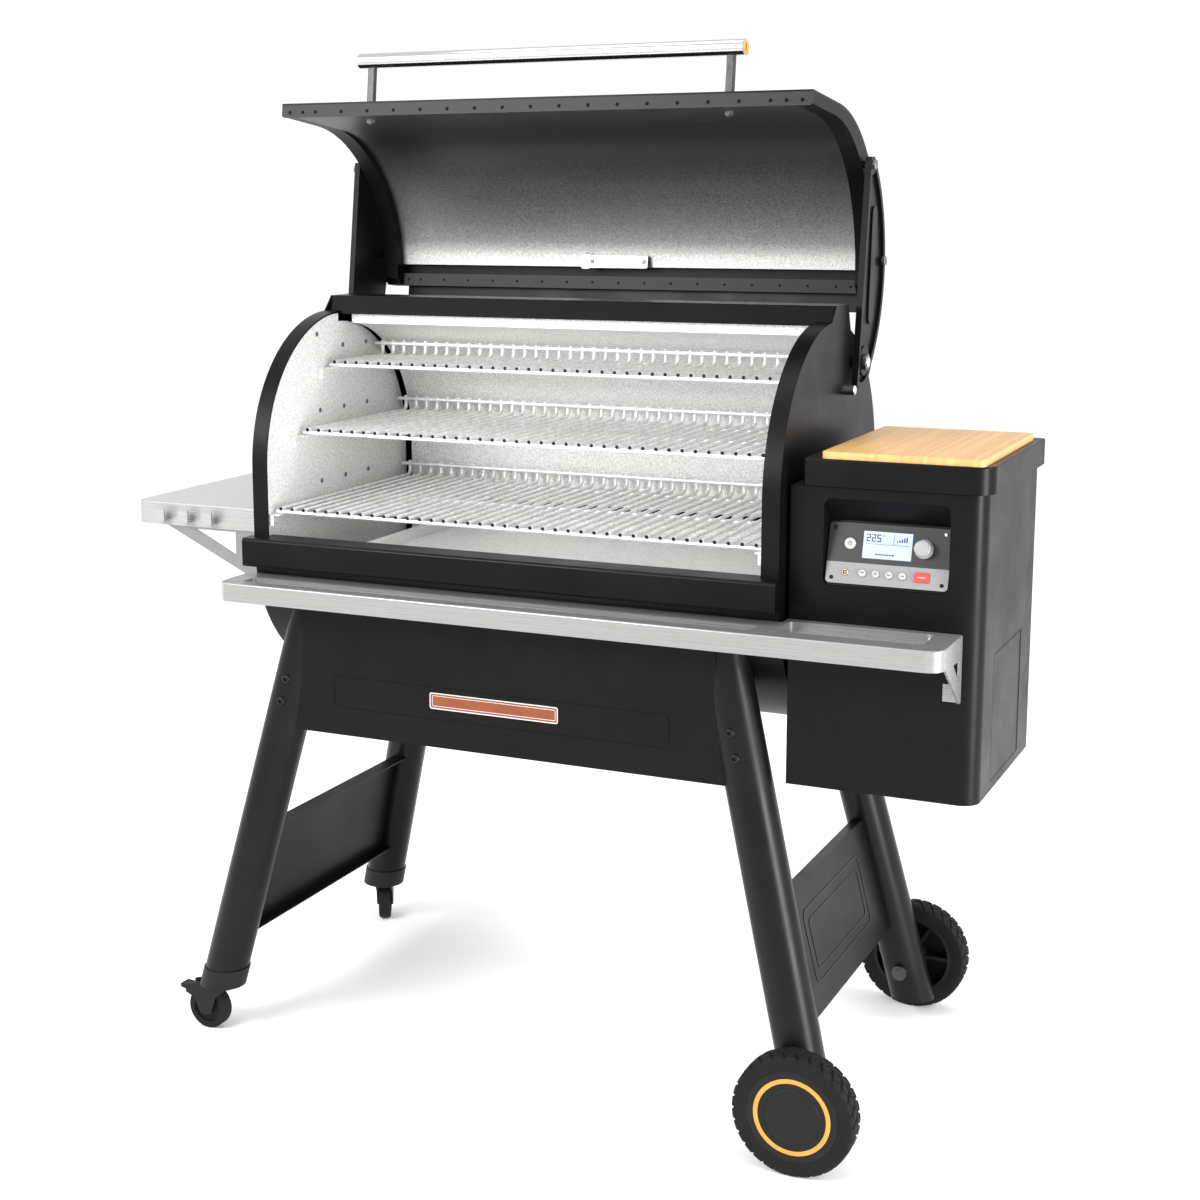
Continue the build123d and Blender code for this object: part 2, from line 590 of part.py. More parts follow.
with BuildPart() as lid_arms:
    for side in (-1, 1):
        with BuildSketch(Plane.YZ.offset(side * ARM_X)):
            arm_section(0)
        extrude(amount=side * ARM_THICK)
        # Dish pressed into the outside, clear of the pivot and the top bolt
        with BuildSketch(Plane.YZ.offset(side * (ARM_X + ARM_THICK))):
            arm_section(9.0)
            with Locations((PIVOT_Y + 3, PIVOT_Z + 2)):
                Circle(24, mode=Mode.SUBTRACT)
            with Locations(ARM_BOLTS[0]):
                Circle(16, mode=Mode.SUBTRACT)
        extrude(amount=-side * ARM_THICK / 2, mode=Mode.SUBTRACT)
        # Long pressed rib down the dish
        with BuildSketch(Plane.YZ.offset(side * (ARM_X + ARM_THICK / 2))):
            with Locations((160.0, 1325.0)):
                SlotOverall(190, 26, rotation=86)
        extrude(amount=side * 3)
        # Spacers and bolts into the lid's end plate
        for y, z in ARM_BOLTS:
            rod((side * BARREL_HALF, y, z), (side * (ARM_X + 14), y, z), ARM_BOLT_R)
        rod((side * (ARM_X - 5), PIVOT_Y, PIVOT_Z), (side * (ARM_X + 15), PIVOT_Y, PIVOT_Z),
            PIVOT_R + RUNNING, mode=Mode.SUBTRACT)
save(lid_arms, "lid_arms")

with BuildPart() as hinge_pins:
    for side in (-1, 1):
        # Lid pivots, with a head outside the arm
        rod((side * BARREL_HALF, PIVOT_Y, PIVOT_Z), (side * (ARM_X + 11), PIVOT_Y, PIVOT_Z), PIVOT_R)
        rod((side * (ARM_X + 11), PIVOT_Y, PIVOT_Z), (side * (ARM_X + 16), PIVOT_Y, PIVOT_Z), 13.0)
        # Stops under the closed lid's arms
        rod((side * BARREL_HALF, 57.0, 1132.0), (side * 478.0, 57.0, 1132.0), PIVOT_R)
        # Hopper lid pins
        centre_x = (LID_BOX_X[0] + LID_BOX_X[1]) / 2 + side * 90
        rod((centre_x - 30, HOPPER_HINGE_Y, HOPPER_HINGE_Z),
            (centre_x + 30, HOPPER_HINGE_Y, HOPPER_HINGE_Z), 2.0)
    rod((DOOR_HINGE_X, DOOR_HINGE_Y, DOOR_Z[0] - 6), (DOOR_HINGE_X, DOOR_HINGE_Y, DOOR_Z[1] + 6),
        DOOR_PIN_R)
save(hinge_pins, "hinge_pins")


def handle_section(inset, mode=Mode.ADD):
    """The handle bar's rounded oval, shrunk all round by the inset."""
    depth = HANDLE_DEPTH - 2 * inset
    height = HANDLE_HEIGHT - 2 * inset
    with Locations((HANDLE_Y, HANDLE_Z)):
        RectangleRounded(depth, height, depth / 2 - 0.5, mode=mode)


with BuildPart() as handle_bar:
    with BuildSketch(on_lid(Plane.YZ.offset(-HANDLE_HALF + HANDLE_CAP))):
        handle_section(0)
        handle_section(2.5, mode=Mode.SUBTRACT)
    extrude(amount=2 * (HANDLE_HALF - HANDLE_CAP))
save(handle_bar, "handle_bar")

with BuildPart() as handle_caps:
    for side in (-1, 1):
        with BuildSketch(on_lid(Plane.YZ.offset(side * (HANDLE_HALF - HANDLE_CAP)))):
            handle_section(0)
        extrude(amount=side * HANDLE_CAP)
        with BuildSketch(on_lid(Plane.YZ.offset(side * HANDLE_HALF))):
            with Locations((HANDLE_Y, HANDLE_Z)):
                SlotOverall(14, 4)
        extrude(amount=-side * 3, mode=Mode.SUBTRACT)
save(handle_caps, "handle_caps")

with BuildPart() as handle_mounts:
    for x in (-HANDLE_POST_X, HANDLE_POST_X):
        # Flat post and its foot on the skin
        with BuildSketch(on_lid(Plane.XZ.offset(LID_OUTER_R))):
            with Locations((x, HANDLE_Z)):
                RectangleRounded(13, 10, 2)
        extrude(amount=HANDLE_REACH - HANDLE_DEPTH / 2)
        with BuildSketch(on_lid(Plane.XZ.offset(LID_OUTER_R))):
            with Locations((x, HANDLE_Z)):
                RectangleRounded(22, 26, 4)
        extrude(amount=3)
        # Bolt through the lid, with a nut inside
        with BuildSketch(on_lid(Plane.XZ.offset(LID_OUTER_R))):
            with Locations((x, HANDLE_Z)):
                Circle(HANDLE_BOLT_R)
        extrude(amount=-(LID_OUTER_R - LID_INNER_R + 8))
        with BuildSketch(on_lid(Plane.XZ.offset(LID_INNER_R))):
            with Locations((x, HANDLE_Z)):
                RegularPolygon(7.5, 6)
        extrude(amount=-6)
save(handle_mounts, "handle_mounts")

# ---------------------------------------------------------------- hopper

panel_tilt = Vector(0, PANEL_HEAD[0] - PANEL_FOOT[0], PANEL_HEAD[1] - PANEL_FOOT[1]).normalized()
panel_normal = (0, -panel_tilt.Z, panel_tilt.Y)
panel_middle = (PANEL_X, (PANEL_FOOT[0] + PANEL_HEAD[0]) / 2, (PANEL_FOOT[1] + PANEL_HEAD[1]) / 2)
panel_plane = Plane(origin=panel_middle, x_dir=(1, 0, 0), z_dir=panel_normal)
recess_front = [(HOPPER_Y[0] - 5, RECESS_TOP_Z), (HOPPER_Y[0] - 5, PANEL_FOOT[1]),
                PANEL_FOOT, PANEL_HEAD, (HOPPER_Y[0], RECESS_TOP_Z)]
recess_walls = [(HOPPER_Y[0] + 1, RECESS_TOP_Z + 4), (HOPPER_Y[0] + 1, PANEL_FOOT[1] - 3),
                (PANEL_FOOT[0] + 3, PANEL_FOOT[1] - 3), (PANEL_HEAD[0] + 4, PANEL_HEAD[1] + 1)]

with BuildPart() as controller_recess:
    with BuildSketch(Plane.YZ.offset(RECESS_X[0])):
        outline(recess_front)
    extrude(amount=RECESS_X[1] - RECESS_X[0])
    with BuildSketch(Plane.XZ.offset(-HOPPER_Y[1])) as recess_face:
        area((RECESS_X[0], PANEL_FOOT[1] - 1), (RECESS_X[1], RECESS_TOP_Z))
        fillet(recess_face.vertices().group_by(Axis.Z)[-1], RECESS_CORNER)
    extrude(amount=HOPPER_Y[1] - HOPPER_Y[0] + 10, mode=Mode.INTERSECT)

with BuildPart() as hopper_body:
    block((HOPPER_X[0], HOPPER_Y[0], HOPPER_Z[0]), (HOPPER_X[1], HOPPER_Y[1], HOPPER_Z[1]))
    upright = hopper_body.edges().filter_by(Axis.Z)
    fillet(upright.group_by(Axis.Y)[0].sort_by(Axis.X)[-1], HOPPER_EDGE_R)
    fillet(hopper_body.edges().filter_by(Axis.Z).group_by(Axis.Y)[-1], 6)
    with BuildSketch(Plane.XY.offset(HOPPER_Z[0] + SHEET)) as hopper_hollow:
        area((HOPPER_X[0] + SHEET, HOPPER_Y[0] + SHEET), (HOPPER_X[1] - SHEET, HOPPER_Y[1] - SHEET))
        front_corners = hopper_hollow.vertices().group_by(Axis.Y)[0]
        fillet(front_corners.sort_by(Axis.X)[-1], HOPPER_EDGE_R - SHEET)
    extrude(amount=HOPPER_Z[1] - HOPPER_Z[0] - 2 * SHEET, mode=Mode.SUBTRACT)
    # Mouth under the lid
    block((500.0, -190.0, HOPPER_Z[1] - 10), (740.0, 118.0, HOPPER_Z[1] + 10), mode=Mode.SUBTRACT)
    # Controller recess, with its own walls behind
    with BuildSketch(Plane.YZ.offset(RECESS_X[0] - SHEET)):
        outline(recess_walls)
    extrude(amount=RECESS_X[1] - RECESS_X[0] + 2 * SHEET)
    add(controller_recess.part, mode=Mode.SUBTRACT)
    with BuildSketch(panel_plane):
        Rectangle(HOUSING_SIZE[0] + 1, HOUSING_SIZE[1] + 1)
    extrude(amount=-HOUSING_DEPTH, mode=Mode.SUBTRACT)
    # Clean-out opening on the right, auger hole on the left
    block((HOPPER_X[1] - 10, DOOR_Y[0] - DOOR_GAP, DOOR_Z[0] - DOOR_GAP),
          (HOPPER_X[1] + 10, DOOR_Y[1] + DOOR_GAP, DOOR_Z[1] + DOOR_GAP), mode=Mode.SUBTRACT)
    rod((HOPPER_X[0] - 5, 0, AUGER_Z), (HOPPER_X[0] + 10, 0, AUGER_Z), AUGER_TUBE_R + 0.5,
        mode=Mode.SUBTRACT)
    rod((DOOR_HINGE_X, DOOR_HINGE_Y, DOOR_Z[0] - 6), (DOOR_HINGE_X, DOOR_HINGE_Y, DOOR_Z[1] + 6),
        DOOR_PIN_R, mode=Mode.SUBTRACT)
    # Stand-offs against the barrel's end panel
    for y in (-150.0, 90.0):
        for z in (730.0, 960.0):
            rod((BARREL_HALF, y, z), (HOPPER_X[0] + 1, y, z), 14.0)
    # Hinge leaves behind the lid
    for side in (-1, 1):
        centre_x = (LID_BOX_X[0] + LID_BOX_X[1]) / 2 + side * 90
        block((centre_x - 11, HOPPER_Y[1], 985.0), (centre_x + 11, HOPPER_Y[1] + SHEET, 1015.0))
        block((centre_x - 11, HOPPER_Y[1], 1012.5), (centre_x + 11, HOPPER_HINGE_Y, 1016.0))
        rod((centre_x - 11, HOPPER_HINGE_Y, HOPPER_HINGE_Z),
            (centre_x + 11, HOPPER_HINGE_Y, HOPPER_HINGE_Z), 4.5)
        rod((centre_x - 12, HOPPER_HINGE_Y, HOPPER_HINGE_Z),
            (centre_x + 12, HOPPER_HINGE_Y, HOPPER_HINGE_Z), 2.0, mode=Mode.SUBTRACT)
save(hopper_body, "hopper_body")

with BuildPart() as power_inlet:
    # Box on the hopper's back, with the socket for a power lead
    block((590.0, HOPPER_Y[1], 600.0), (650.0, HOPPER_Y[1] + INLET_DEPTH, 640.0))
    fillet(power_inlet.edges().filter_by(Axis.Y), 5)
    fillet(power_inlet.faces().sort_by(Axis.Y)[-1].edges(), 1.5)
    block((602.0, HOPPER_Y[1] + 6, 611.0), (638.0, HOPPER_Y[1] + INLET_DEPTH + 1, 629.0),
          mode=Mode.SUBTRACT)
save(power_inlet, "power_inlet")

with BuildPart() as pellet_bin:
    # Square box above, tapering to the auger's throat; the hollow is the same shape, one sheet smaller
    for inset, reach, mode in ((0.0, 0.0, Mode.ADD), (LINER_SHEET, 1.0, Mode.SUBTRACT)):
        (left, front), (right, back) = BIN_TOP
        with BuildSketch(Plane.XY.offset(BIN_Z[1])):
            area((left + inset, front + inset), (right - inset, back - inset))
        extrude(amount=BIN_Z[2] - BIN_Z[1] + reach, mode=mode)
        with BuildSketch(Plane.XY.offset(BIN_Z[1] + reach)):
            area((left + inset, front + inset), (right - inset, back - inset))
        (left, front), (right, back) = BIN_THROAT
        with BuildSketch(Plane.XY.offset(BIN_Z[0] - reach)):
            area((left + inset, front + inset), (right - inset, back - inset))
        loft(mode=mode)
save(pellet_bin, "pellet_bin")

with BuildPart() as hopper_lid:
    block((LID_BOX_X[0], LID_BOX_Y[0], LID_BOX_Z[0]), (LID_BOX_X[1], LID_BOX_Y[1], LID_BOX_Z[1]))
    front_corner = hopper_lid.edges().filter_by(Axis.Z).group_by(Axis.Y)[0].sort_by(Axis.X)[-1]
    fillet(front_corner, HOPPER_EDGE_R + 4)
    # The two nearest edges are that rounded corner's own
    uprights = hopper_lid.edges().filter_by(Axis.Z)
    fillet(uprights.sort_by_distance((LID_BOX_X[1], LID_BOX_Y[0], LID_BOX_Z[0]))[2:], 6)
    fillet(hopper_lid.faces().sort_by(Axis.Z)[-1].edges(), 2.5)
    with BuildSketch(Plane.XY.offset(LID_BOX_Z[0] - 1)) as lid_hollow:
        area((LID_BOX_X[0] + SHEET, LID_BOX_Y[0] + SHEET),
             (LID_BOX_X[1] - SHEET, LID_BOX_Y[1] - SHEET))
        fillet(lid_hollow.vertices().group_by(Axis.Y)[0].sort_by(Axis.X)[-1], HOPPER_EDGE_R + 1)
    extrude(amount=LID_BOX_Z[1] - LID_BOX_Z[0] + 1 - SHEET, mode=Mode.SUBTRACT)
    for side in (-1, 1):
        centre_x = (LID_BOX_X[0] + LID_BOX_X[1]) / 2 + side * 90
        for start in (centre_x - 28, centre_x + 12):
            block((start, LID_BOX_Y[1] - 1, HOPPER_HINGE_Z + 0.5),
                  (start + 16, HOPPER_HINGE_Y, HOPPER_HINGE_Z + 4.5))
            rod((start, HOPPER_HINGE_Y, HOPPER_HINGE_Z),
                (start + 16, HOPPER_HINGE_Y, HOPPER_HINGE_Z), 4.5)
        rod((centre_x - 29, HOPPER_HINGE_Y, HOPPER_HINGE_Z),
            (centre_x + 29, HOPPER_HINGE_Y, HOPPER_HINGE_Z), 2.0 + RUNNING, mode=Mode.SUBTRACT)
save(hopper_lid, "hopper_lid")

with BuildPart() as cutting_board:
    block((BOARD_X[0], BOARD_Y[0], LID_BOX_Z[1] + 0.3),
          (BOARD_X[1], BOARD_Y[1], LID_BOX_Z[1] + BOARD_THICK))
    fillet(cutting_board.edges().filter_by(Axis.Z), 9)
    fillet(cutting_board.faces().sort_by(Axis.Z)[-1].edges(), 2.5)
save(cutting_board, "cutting_board")

with BuildPart() as cleanout_door:
    block((HOPPER_X[1] - SHEET, DOOR_Y[0], DOOR_Z[0]), (HOPPER_X[1], DOOR_HINGE_Y, DOOR_Z[1]))
    # Rolled rear edge round the hinge pin
    rod((DOOR_HINGE_X, DOOR_HINGE_Y, DOOR_Z[0]), (DOOR_HINGE_X, DOOR_HINGE_Y, DOOR_Z[1]), 3.0)
    # Stiffening flange inside the front edge
    block((HOPPER_X[1] - 14, DOOR_Y[0], DOOR_Z[0]),
          (HOPPER_X[1] - SHEET, DOOR_Y[0] + SHEET, DOOR_Z[1]))
    rod((DOOR_HINGE_X, DOOR_HINGE_Y, DOOR_Z[0] - 1), (DOOR_HINGE_X, DOOR_HINGE_Y, DOOR_Z[1] + 1),
        DOOR_PIN_R + RUNNING, mode=Mode.SUBTRACT)
save(cleanout_door, "cleanout_door")

# ---------------------------------------------------------------- controls


def pocket(at, radius):
    """Round pocket in the control panel for a button or a shaft."""
    with BuildSketch(panel_plane.offset(PANEL_THICK + 1), mode=Mode.PRIVATE) as hole:
        with Locations(at):
            Circle(radius)
    extrude(hole.sketch, amount=-(PANEL_THICK + 1 + POCKET_DEPTH), mode=Mode.SUBTRACT)


with BuildPart() as control_panel:
    with BuildSketch(panel_plane):
        RectangleRounded(PANEL_WIDTH, PANEL_HEIGHT, 6)
    extrude(amount=PANEL_THICK)
    with BuildSketch(panel_plane):
        Rectangle(*HOUSING_SIZE)
    extrude(amount=-HOUSING_DEPTH)
    pocket(POWER_AT, POWER_R + BUTTON_GAP)
    pocket(KNOB_AT, KNOB_SHAFT_R + RUNNING)
    for x in MENU_X:
        pocket((x, BUTTON_ROW), MENU_R + BUTTON_GAP)
    with BuildSketch(panel_plane.offset(PANEL_THICK + 1)):
        with Locations((IGNITE_X, BUTTON_ROW)):
            RectangleRounded(IGNITE_SIZE[0] + 2 * BUTTON_GAP, IGNITE_SIZE[1] + 2 * BUTTON_GAP, 2.5)
    extrude(amount=-(PANEL_THICK + 1 + POCKET_DEPTH), mode=Mode.SUBTRACT)
    with BuildSketch(panel_plane.offset(PANEL_THICK)):
        with Locations(DISPLAY_AT):
            Rectangle(*DISPLAY_SIZE)
    extrude(amount=-1.5, mode=Mode.SUBTRACT)
save(control_panel, "control_panel")

with BuildPart() as display:
    with BuildSketch(panel_plane.offset(PANEL_THICK - 1.5)):
        with Locations(DISPLAY_AT):
            Rectangle(*DISPLAY_SIZE)
    extrude(amount=1.2)
save(display, "display")

with BuildPart() as control_knob:
    with BuildSketch(panel_plane.offset(PANEL_THICK + 0.5)):
        with Locations(KNOB_AT):
            Circle(KNOB_R)
    extrude(amount=KNOB_HEIGHT)
    fillet(control_knob.edges().filter_by(GeomType.CIRCLE).sort_by(Axis.Y)[0], 1.5)
    with BuildSketch(panel_plane.offset(PANEL_THICK + 1)):
        with Locations(KNOB_AT):
            Circle(KNOB_SHAFT_R)
    extrude(amount=-(PANEL_THICK + POCKET_DEPTH - 1))
save(control_knob, "control_knob")

with BuildPart() as power_button:
    with BuildSketch(panel_plane.offset(-BUTTON_SINK)):
        with Locations(POWER_AT):
            Circle(POWER_R)
    extrude(amount=BUTTON_SINK + PANEL_THICK + BUTTON_PROUD)
    fillet(power_button.edges().filter_by(GeomType.CIRCLE).sort_by(Axis.Y)[0], 1)
save(power_button, "power_button")

for number, x in enumerate(MENU_X, start=1):
    with BuildPart() as menu_button:
        with BuildSketch(panel_plane.offset(-BUTTON_SINK)):
            with Locations((x, BUTTON_ROW)):
                Circle(MENU_R)
        extrude(amount=BUTTON_SINK + PANEL_THICK + BUTTON_PROUD)
        fillet(menu_button.edges().filter_by(GeomType.CIRCLE).sort_by(Axis.Y)[0], 1)
    save(menu_button, f"menu_button_{number}")

with BuildPart() as ignite_button:
    with BuildSketch(panel_plane.offset(-BUTTON_SINK)):
        with Locations((IGNITE_X, BUTTON_ROW)):
            RectangleRounded(*IGNITE_SIZE, 2)
    extrude(amount=BUTTON_SINK + PANEL_THICK + BUTTON_PROUD)
    fillet(ignite_button.faces().sort_by(Axis.Y)[0].edges(), 0.8)
save(ignite_button, "ignite_button")

# ---------------------------------------------------------------- grates and their rails

for name, (height, front, back) in GRATES.items():
    with BuildPart() as grate:
        with BuildLine(Plane.YZ) as wire:
            Line((front, height), (back - BEND_R, height))
            RadiusArc((back - BEND_R, height), (back, height + BEND_R), -BEND_R)
            Line((back, height + BEND_R), (back, height + BACKSTOP))
        with BuildSketch(Plane(origin=(0, front, height), z_dir=(0, 1, 0))):
            Circle(ROD_R)
        sweep(path=wire.wires()[0])
        single = grate.part
        with GridLocations(ROD_PITCH, 1, ROD_COUNT, 1):
            add(single)
        # Open tube ends along the front
        with Locations((0, front, height)):
            with GridLocations(ROD_PITCH, 1, ROD_COUNT, 1):
                Cylinder(ROD_R - 1.0, 16, rotation=(90, 0, 0), mode=Mode.SUBTRACT)
        # Cross wires under the rods and along the backstop
        for y in (front + 7, front + (back - front) / 2, back - 22):
            rod((-GRATE_HALF, y, height - CROSS_DROP), (GRATE_HALF, y, height - CROSS_DROP), ROD_R)
        rail_z = height + BACKSTOP - 5
        rod((-GRATE_HALF, back - CROSS_DROP, rail_z), (GRATE_HALF, back - CROSS_DROP, rail_z), ROD_R)
    save(grate, f"grate_{name}")

with BuildPart() as grate_rails:
    for height, front, back in GRATES.values():
        seat = height - CROSS_DROP - ROD_R - RAIL_GAP
        tip = max(front - RAIL_LEAD, RAIL_LIMIT_Y)
        for side in (-1, 1):
            wall = side * END_LINER_X
            # Upright leg on the end liner, the ledge that carries the grate, and the tab in front
            for reach, start, low, end, high in (
                    (LINER_SHEET, tip, seat - RAIL_DEPTH, back - 12, seat),
                    (RAIL_SHELF, front - 7, seat - 2, back - 12, seat),
                    (12.0, tip, seat - RAIL_DEPTH, tip + 2, seat)):
                low_x, high_x = sorted((wall, wall - side * reach))
                block((low_x, start, low), (high_x, end, high))
save(grate_rails, "grate_rails")

# ---------------------------------------------------------------- firing parts

with BuildPart() as drip_tray:
    block((TRAY_LEFT_X, -TRAY_HALF_Y, TRAY_Z), (TRAY_RIGHT_X, TRAY_HALF_Y, TRAY_Z + LINER_SHEET))
    for y in (-TRAY_HALF_Y + 4, TRAY_HALF_Y - 4 - LINER_SHEET):
        block((TRAY_LEFT_X, y, TRAY_Z), (TRAY_RIGHT_X, y + LINER_SHEET, TRAY_Z + TRAY_EDGE))
    for x in (TRAY_LEFT_X, TRAY_RIGHT_X - LINER_SHEET):
        block((x, -TRAY_HALF_Y + 4, TRAY_Z), (x + LINER_SHEET, TRAY_HALF_Y - 4, TRAY_Z + TRAY_EDGE))
    # Folded lip that the hand pulls it out by
    block((TRAY_LEFT_X - 16, -TRAY_HALF_Y + 4, TRAY_Z + TRAY_EDGE),
          (TRAY_LEFT_X + LINER_SHEET, TRAY_HALF_Y - 4, TRAY_Z + TRAY_EDGE + LINER_SHEET))
save(drip_tray, "drip_tray")

with BuildPart() as heat_baffle:
    with BuildSketch(Plane.YZ.offset(-170)):
        outline([(-150, 800), (0, 815), (150, 800), (150, 797), (0, 812), (-150, 797)])
    extrude(amount=340)
    for x in (-168, 165):
        for y in (-140, 137):
            foot_z = LOW_ARC_Z - sqrt((BARREL_R - LINER_INSET - LINER_SHEET - 1) ** 2 - 140 ** 2)
            block((x, y, foot_z), (x + 3, y + 3, 799))
save(heat_baffle, "heat_baffle")

with BuildPart() as fire_pot:
    rod((0, 0, LOW_ARC_Z - BARREL_R), (0, 0, POT_TOP_Z), POT_R)
    # Its foot is cut to the liner's curve
    with BuildSketch(Plane.YZ.offset(-POT_R - 5)):
        barrel_section(LINER_INSET + LINER_SHEET + 0.2)
    extrude(amount=2 * POT_R + 10, mode=Mode.INTERSECT)
    rod((0, 0, POT_FLOOR_Z), (0, 0, POT_TOP_Z + 5), POT_R - SHEET, mode=Mode.SUBTRACT)
    # Mouth for the auger tube, and the air holes round the wall
    rod((0, 0, AUGER_Z), (80, 0, AUGER_Z), AUGER_TUBE_R + 0.5, mode=Mode.SUBTRACT)
    with Locations((0, 0, 730)):
        with PolarLocations(0, 9, start_angle=10, angular_range=340):
            Cylinder(4, POT_R + 5, rotation=(0, 90, 0), align=(Align.CENTER, Align.CENTER, Align.MIN),
                     mode=Mode.SUBTRACT)
save(fire_pot, "fire_pot")

with BuildPart() as auger_tube:
    rod((POT_R - 6, 0, AUGER_Z), (AUGER_END_X, 0, AUGER_Z), AUGER_TUBE_R)
    # Collar of the throat under the pellet bin
    block((518.0, -22.0, 706.0), (612.0, 22.0, 714.5))
    block((522.0, -18.0, AUGER_Z + 10), (608.0, 18.0, 716.0), mode=Mode.SUBTRACT)
    rod((POT_R - 7, 0, AUGER_Z), (AUGER_END_X + 1, 0, AUGER_Z), AUGER_TUBE_R - LINER_SHEET,
        mode=Mode.SUBTRACT)
save(auger_tube, "auger_tube")

with BuildPart() as auger:
    rod((AUGER_START_X, 0, AUGER_Z), (AUGER_END_X + 24, 0, AUGER_Z), AUGER_SHAFT_R)
    with BuildSketch(Plane.YZ, mode=Mode.PRIVATE) as blade:
        Rectangle(2 * AUGER_R, 3.2)
    reach = (AUGER_END_X - AUGER_START_X - 30, 0, 0)
    flight = Solid.extrude_linear_with_rotation(blade.sketch.face(), center=(0, 0, 0), normal=reach,
                                                angle=180 * FLIGHT_TURNS)
    add(flight.moved(Location((AUGER_START_X + 4, 0, AUGER_Z))))
save(auger, "auger")

with BuildPart() as auger_motor:
    block((AUGER_END_X + 1, -32.0, AUGER_Z - 34), (AUGER_END_X + 58, 32.0, AUGER_Z + 34))
    fillet(auger_motor.edges().filter_by(Axis.X), 6)
    rod((AUGER_END_X + 58, 0, AUGER_Z - 6), (AUGER_END_X + 86, 0, AUGER_Z - 6), 22.0)
    rod((AUGER_END_X, 0, AUGER_Z), (AUGER_END_X + 30, 0, AUGER_Z), AUGER_SHAFT_R + RUNNING,
        mode=Mode.SUBTRACT)
save(auger_motor, "auger_motor")

with BuildPart() as blower_housing:
    blower_x, blower_z = BLOWER_AT
    rod((blower_x, BLOWER_Y[0], blower_z), (blower_x, BLOWER_Y[1], blower_z), BLOWER_R)
    block((HOPPER_X[0] + 8, BLOWER_Y[0] + 8, blower_z - BLOWER_R + 2),
          (blower_x, BLOWER_Y[1] - 8, blower_z - 14))
    rod((blower_x, BLOWER_Y[0] + 3, blower_z), (blower_x, BLOWER_Y[1] - 3, blower_z), BLOWER_R - 3,
        mode=Mode.SUBTRACT)
    block((HOPPER_X[0], BLOWER_Y[0] + 11, blower_z - BLOWER_R + 5),
          (blower_x, BLOWER_Y[1] - 11, blower_z - 17), mode=Mode.SUBTRACT)
    # Air inlet in the front
    rod((blower_x, BLOWER_Y[0] - 1, blower_z), (blower_x, BLOWER_Y[0] + 10, blower_z), 22.0,
        mode=Mode.SUBTRACT)
    # Motor behind, with the bearing for the impeller's shaft
    rod((blower_x, BLOWER_Y[1] - 3, blower_z), (blower_x, BLOWER_Y[1] + 22, blower_z), 20.0)
    rod((blower_x, BLOWER_Y[1] - 4, blower_z), (blower_x, BLOWER_Y[1] + 12, blower_z), 3.0 + RUNNING,
        mode=Mode.SUBTRACT)
save(blower_housing, "blower_housing")

with BuildPart() as blower_impeller:
    rod((blower_x, BLOWER_Y[1] - 9, blower_z), (blower_x, BLOWER_Y[1] - 6, blower_z), IMPELLER_R)
    rod((blower_x, BLOWER_Y[0] + 12, blower_z), (blower_x, BLOWER_Y[1] + 11, blower_z), 3.0)
    with Locations(Plane.XZ.offset(-BLOWER_Y[0] - 26).location):
        with Locations((blower_x, blower_z)):
            with PolarLocations(IMPELLER_R - 8, 12):
                Box(12, 1.5, 32)
save(blower_impeller, "blower_impeller")

with BuildPart() as exhaust_duct:
    # Cover over the vent slots in the back, open underneath
    duct_outline = [(200.0, DUCT_LOW_Z), (DUCT_Y, DUCT_LOW_Z), (DUCT_Y, 940.0),
                    (BARREL_R - 6, 985.0), (200.0, 985.0)]
    with BuildSketch(Plane.YZ.offset(-DUCT_HALF)):
        outline(duct_outline)
    extrude(amount=2 * DUCT_HALF)
    with BuildSketch(Plane.YZ.offset(-DUCT_HALF + SHEET)):
        outline([(190.0, DUCT_LOW_Z - 9), (DUCT_Y - SHEET, DUCT_LOW_Z - 9), (DUCT_Y - SHEET, 938.0),
                 (BARREL_R - 7, 981.0), (190.0, 981.0)])
    extrude(amount=2 * (DUCT_HALF - SHEET), mode=Mode.SUBTRACT)
    with BuildSketch(Plane.YZ.offset(-DUCT_HALF - 5)):
        barrel_section(-0.1)
    extrude(amount=2 * DUCT_HALF + 10, mode=Mode.SUBTRACT)
save(exhaust_duct, "exhaust_duct")

# ---------------------------------------------------------------- wheels

with BuildPart() as axles:
    for side in (-1, 1):
        rod((WHEEL_X, side * 238, WHEEL_R), (WHEEL_X, side * 346, WHEEL_R), AXLE_R)
        rod((WHEEL_X, side * 233, WHEEL_R), (WHEEL_X, side * 240, WHEEL_R), 13.0)
        rod((WHEEL_X, side * 345, WHEEL_R), (WHEEL_X, side * 351, WHEEL_R), 12.0)
save(axles, "axles")

